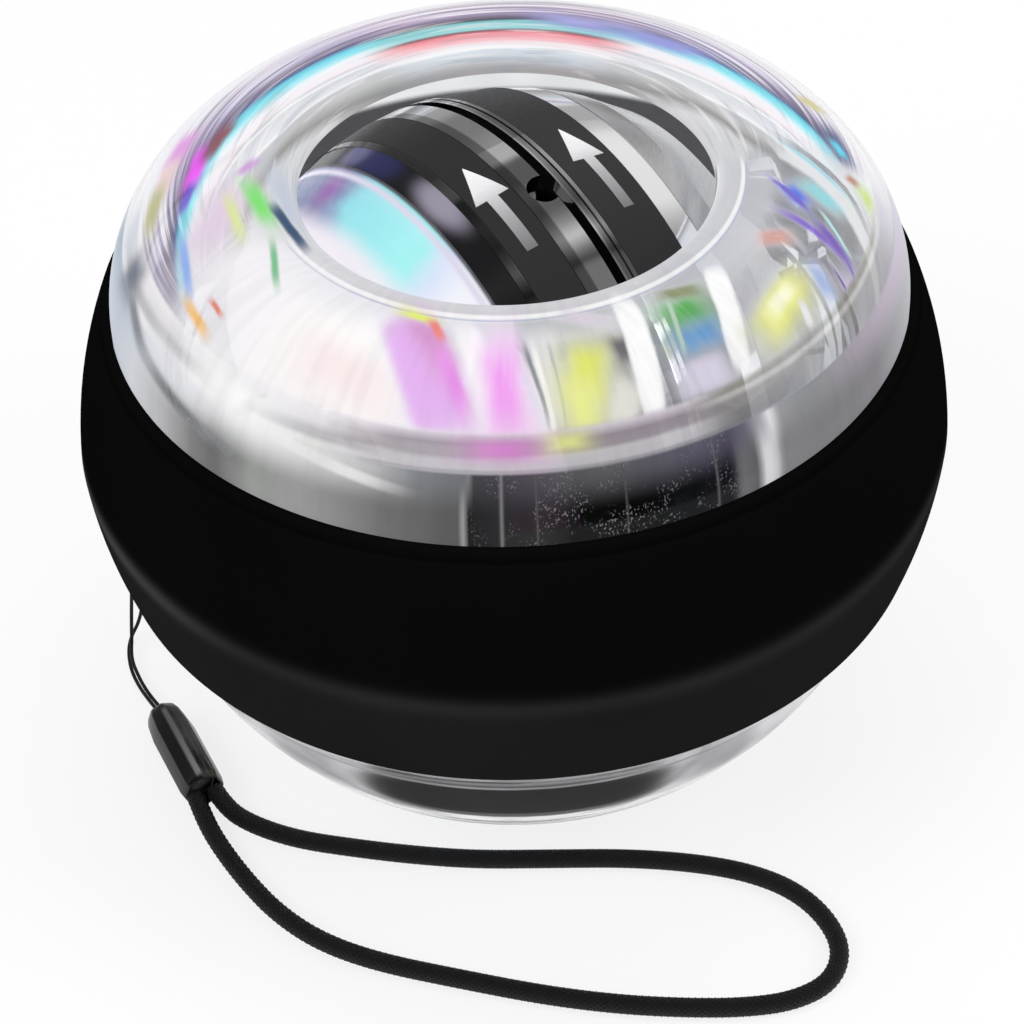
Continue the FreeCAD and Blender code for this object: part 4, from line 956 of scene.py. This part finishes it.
# the rotor core is near black, which keeps the slot between the chrome halves dark
slotBlack = plasticPaint("near-black slot floor", (0.003, 0.003, 0.003), 0.5, gloss=0.1)
blackInlay = plasticPaint("black inlay", (0.021, 0.021, 0.022), 0.42, gloss=0.22)
blackPlastic = plasticPaint("black plastic", (0.014, 0.014, 0.015), 0.22)
greyPlastic = plasticPaint("grey plastic", (0.15, 0.15, 0.16), 0.5)
whitePlastic = plasticPaint("white plastic", (0.75, 0.75, 0.74), 0.4)
boardGreen = plasticPaint("board lacquer", (0.03, 0.18, 0.07), 0.35)

for node, material in {
    "axle": steel, "axle_bush_left": bronze, "axle_bush_right": bronze, "thrust_washer": whitePlastic,
    "generator_magnets": steel, "spring_barrel": greyPlastic, "barrel_cover": greyPlastic,
    "barrel_screws": steel, "mainspring": steel, "spring_arbor": steel, "rotor_core": slotBlack,
    "rotor_half_left": chrome, "rotor_half_right": chrome, "end_ring": satin,
    "arrow_band_left": blackInlay, "arrow_band_right": blackInlay, "rotor_screws": steel,
    "light_hub": whitePlastic, "circuit_board": boardGreen, "board_chip": blackPlastic,
    "pickup_coils": copper, "coil_cores": steel, "clutch_ring": steel, "clutch_rollers": steel,
    "light_diodes": whitePlastic,
}.items():
    paintNode(node, material)

carrierClear = Paint("clear carrier plastic")
paintNode("carrier_ring", outputOf(carrierClear, carrierClear.surface(
    Base_Color=(0.93, 0.96, 1.0), Roughness=0.03, IOR=dome["bending"], Transmission_Weight=1.0)))

lensLight = {
    # degrees about the axle, 0 at the back and 90 on top, and the colour there in percent, as shown
    "around": [
        (-180, 95, 45, 92), (-140, 60, 55, 98), (-100, 45, 90, 95), (-60, 95, 95, 55), (-20, 50, 85, 60),
        (20, 45, 42, 80), (52, 40, 45, 60), (66, 46, 50, 64), (74, 50, 62, 76), (79, 56, 90, 93),
        (100, 62, 96, 96), (107, 86, 90, 99), (113, 96, 97, 99), (135, 98, 90, 97), (160, 97, 60, 94),
    ],
    "rimLine": (-9.85, 0.28, (90, 88, 96)),
    "violet": (-11.3, 68.0, 1.6, 4.0, (52, 20, 62)),
    "disc": (-12.6, -14.8, (97, 94, 97)),
    "dark": (-9.5, -9.2, (3, 3, 9)),
    # painted reflections on the black bezel: mm along the axle, degrees, half widths of both, colour
    "bezelReflections": [
        (-7.8, 74.0, 1.6, 8.0, (13, 13, 33)),
        (-7.7, 66.0, 1.6, 4.0, (36, 36, 52)),
        (-7.6, 95.5, 1.35, 7.6, (62, 59, 66)),
    ],
    # a painted highlight line along the bezel's edge: mm along the axle, width, colour
    "bezelHighlightLine": (-6.45, 0.1, (45, 45, 47)),
}


def ovalOff(along, turn, place, angle, wide, high):
    return ((along - place) / wide) ** 2 + ((turn - angle) / high) ** 2


def lensPaint():
    paint = Paint("lit lens plastic")
    along, out, turn = paint.aboutAxle()
    blur = paint.noise(paint.place(), 220.0, 2.0) - 0.5
    colour = paint.ramp(turn + blur * 9 + along * 0.8 + 8, -180, 180,
                        shownStops(lensLight["around"]))
    *oval, shade = lensLight["violet"]
    colour = paint.mix(paint.fall(ovalOff(along, turn, *oval)), colour, shown(shade))
    start, end, shade = lensLight["disc"]
    colour = paint.mix(paint.span(along + blur, start, end), colour, shown(shade))
    place, wide, shade = lensLight["rimLine"]
    colour = paint.mix(paint.fade(along - place, wide), colour, shown(shade))
    start, end, shade = lensLight["dark"]
    colour = paint.mix(paint.span(along, start, end), colour, shown(shade))
    paint.material.cycles.emission_sampling = "NONE"
    shader = paint.surface(Base_Color=(0.1, 0.1, 0.11), Roughness=0.12, IOR=1.49,
                           Transmission_Weight=0.3, Emission_Color=colour, Emission_Strength=0.8)
    return outputOf(paint, shader)


def bezelPaint():
    paint = Paint("black bezel plastic")
    along, out, turn = paint.aboutAxle()
    colour = (0, 0, 0)
    # painted reflections and a painted highlight line, glowing on the black plastic
    for *oval, shade in lensLight["bezelReflections"]:
        off = ovalOff(along, turn, *oval)
        colour = paint.mix(paint.fall(off * off), colour, shown(shade))
    place, wide, shade = lensLight["bezelHighlightLine"]
    colour = paint.mix(paint.fade(along - place, wide), colour, shown(shade))
    paint.material.cycles.emission_sampling = "NONE"
    shader = paint.surface(Base_Color=(0.008, 0.008, 0.009), Roughness=0.16,
                           Specular_IOR_Level=0.25, Emission_Color=colour, Emission_Strength=0.9)
    return outputOf(paint, shader)


paintNode("light_lens", lensPaint())
paintNode("lens_bezel", bezelPaint())
print("nodes painted")

# Arrows on the rotor's black bands

arrows = {
    # middle along the axle and the band's two ends, mm
    "bands": {"Left": (-4.42, -2.7, -6.25), "Right": (4.8, 1.95, 6.95)},
    "rotorRadius": 25.2,
    "tip": 91.3, "neck": 100.7, "end": 113.6,  # degrees, 90 on top
    "headHalf": 1.5,
    "shaftHalf": 0.5,
    "count": 3,
    "rise": 0.035,
    "sink": 0.03,
    "columns": 9,
    "rows": (9, 10),  # of the head and of the shaft
    "tipHalf": 0.03,
    "shaftGap": 0.03,  # degrees behind the head
    # painted shading, lighter at the tip on top: shares of its length, and the shade there in percent, as
    # shown
    "paintedShades": [(0.0, 97), (0.3, 90, 90, 91), (0.44, 78, 78, 79), (0.62, 66, 66, 67), (1.0, 45, 45, 46)],
}


def arrowMesh(name, middle, near, far):
    def bandRadius(along):
        ends = [math.sqrt(arrows["rotorRadius"] ** 2 - end ** 2) for end in (near, far)]
        return ends[0] + (ends[1] - ends[0]) * (along - near) / (far - near)

    tip, neck, headHalf = arrows["tip"], arrows["neck"], arrows["headHalf"]
    headRows, shaftRows = arrows["rows"]
    rows = []
    for step in range(headRows):
        share = step / (headRows - 1)
        rows.append((tip + (neck - tip) * share,
                     arrows["tipHalf"] + (headHalf - arrows["tipHalf"]) * share))
    for step in range(shaftRows):
        share = step / (shaftRows - 1)
        rows.append((neck + arrows["shaftGap"] + (arrows["end"] - neck) * share, arrows["shaftHalf"]))
    count = arrows["columns"]
    vertices, faces = [], []
    for copy in range(arrows["count"]):
        start = len(vertices)
        for level in (arrows["rise"], -arrows["sink"]):
            for angle, half in rows:
                turn = math.radians(angle + copy * 360 / arrows["count"])
                for column in range(count):
                    along = middle + half * (2 * column / (count - 1) - 1)
                    radius = bandRadius(along) + level
                    vertices.append((along * mm, radius * math.cos(turn) * mm,
                                     radius * math.sin(turn) * mm))
        lower = start + len(rows) * count
        for row in range(len(rows) - 1):
            for column in range(count - 1):
                here = row * count + column
                for base in (start, lower):
                    faces.append([base + here, base + here + 1, base + here + count + 1,
                                  base + here + count])
            for here in (row * count, row * count + count - 1):
                faces.append([start + here, start + here + count, lower + here + count,
                              lower + here])
        for row in (0, len(rows) - 1):
            for column in range(count - 1):
                here = row * count + column
                faces.append([start + here, start + here + 1, lower + here + 1, lower + here])
    return finished(newMesh(name, vertices, faces))


def arrowPaint():
    paint = Paint("silver arrow ink")
    x, y, z = paint.split(paint.place())
    lap = paint.maths("MODULO", paint.degrees(z, y) + 360 - arrows["tip"], 360 / arrows["count"])
    # painted shading: the white ink darkens from the tip on top towards the tail
    paintedShading = paint.ramp(lap / (arrows["end"] - arrows["tip"]), 0, 1, shownStops(arrows["paintedShades"]))
    grain = paint.noise(paint.place(), 4000.0, 2.0)
    shader = paint.surface(Base_Color=paint.mix(grain * 0.12, paintedShading, (0, 0, 0)),
                           Roughness=0.45, Metallic=0.15, Specular_IOR_Level=0.3,
                           Normal=paint.bump(grain, 0.1, 0.00002))
    return outputOf(paint, shader)


def makeArrows():
    ink = arrowPaint()
    for side, (middle, near, far) in arrows["bands"].items():
        name = "arrowMarks" + side
        piece = addPiece(name, arrowMesh(name, middle, near, far), axleFrame, [ink])
        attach(piece, "rotor")


makeArrows()
print("arrows made")

# Floor, backdrop and light

studio = {
    "floorSize": 6.0,
    "floorColour": (0.86, 0.86, 0.86),
    "whiteShare": 0.8,  # of what the camera sees
    "whiteThroughClear": 0.8,
    "whiteInGloss": 0.5,
    "skyForDiffuse": 0.5,
    # what polished surfaces mirror, by how far back less how far right they look: on the near
    # left and on the far right
    "mirrorRange": 1.45,
    "mirrorNear": [
        (-1.45, 0.25), (-0.46, 0.25), (-0.4, 0.07), (-0.32, 0.26), (-0.18, 0.86), (-0.04, 0.40),
        (0.10, 0.15), (0.23, 0.20), (0.36, 0.25), (0.49, 0.15), (0.66, 0.15), (0.71, 0.67),
        (0.81, 0.62), (0.90, 0.39), (1.0, 0.30),
    ],
    "mirrorFar": [
        (-1.45, 0.3), (-0.3, 0.3), (-0.15, 0.6), (0.0, 0.95), (0.5, 1.0), (0.6, 0.95), (0.72, 0.6),
        (0.8, 0.32), (0.9, 0.3),
    ],
    "lamps": [
        # place, size, watts
        ((-0.42, -0.28, 0.5), (0.34, 0.34), 2.0),
        ((0.5, -0.12, 0.42), (0.26, 0.4), 1.5),
        ((0.05, 0.15, 0.7), (0.5, 0.3), 2.0),
    ],
}


def makeStudio():
    half = studio["floorSize"] / 2
    corners = [(-half, -half, 0), (half, -half, 0), (half, half, 0), (-half, half, 0)]
    mesh = newMesh("floor", corners, [(0, 1, 2, 3)])
    paint = Paint("floor")
    seen = [paint.node("LightPath", out=out)
            for out in ("Is Camera Ray", "Is Glossy Ray", "Is Transmission Ray")]
    share = paint.maths("MAXIMUM", seen[0] * studio["whiteShare"],
                        paint.maths("MAXIMUM", seen[1] * studio["whiteInGloss"],
                                    seen[2] * studio["whiteThroughClear"]))
    lit = paint.node("BsdfDiffuse", None, {"Color": (*studio["floorColour"], 1)})
    white = paint.node("Emission", None, {"Color": (1, 1, 1, 1), "Strength": 1.0})
    shader = paint.node("MixShader", None, {0: share, 1: lit, 2: white})
    paint.material.cycles.emission_sampling = "NONE"
    floor = addPiece("floor", mesh, None, [outputOf(paint, shader)])

    world = bpy.data.worlds.new("studio")
    scene.world = world
    paint = Paint("studio", world)
    path = [paint.node("LightPath", out=out)
            for out in ("Is Camera Ray", "Is Transmission Ray", "Is Glossy Ray")]
    white = paint.maths("MINIMUM", path[0] + path[1], 1.0)
    toward = paint.node("TexCoord", out=0)
    right, back, up = paint.split(toward)
    reach = studio["mirrorRange"]
    near, far = [paint.ramp(back - right, -reach, reach,
                            [(place, (level,) * 3) for place, level in studio[side]])
                 for side in ("mirrorNear", "mirrorFar")]
    gloss = paint.mix(paint.span(back + right, 0.8, 0.9), near, far)
    gloss = paint.mix(paint.span(up, 0.25, 0.1), gloss, (0.5, 0.5, 0.5))
    level = white + (1 - white) * (path[2] * gloss + (1 - path[2]) * studio["skyForDiffuse"])
    shader = paint.node("Background", None, {"Strength": level})
    outputOf(paint, shader, "OutputWorld")

    for number, (place, size, watts) in enumerate(studio["lamps"]):
        data = bpy.data.lights.new("lamp%d" % number, "AREA")
        data.shape = "RECTANGLE"
        data.size, data.size_y = size
        data.energy = watts
        lamp = bpy.data.objects.new("lamp%d" % number, data)
        scene.collection.objects.link(lamp)
        lamp.location = place
        lamp.visible_glossy = False
        aim = Vector((0, 0, 0.035)) - Vector(place)
        lamp.rotation_euler = aim.to_track_quat("-Z", "Y").to_euler()
    scene.view_settings.view_transform = "Standard"


makeStudio()
print("studio made")

bpy.context.view_layer.update()
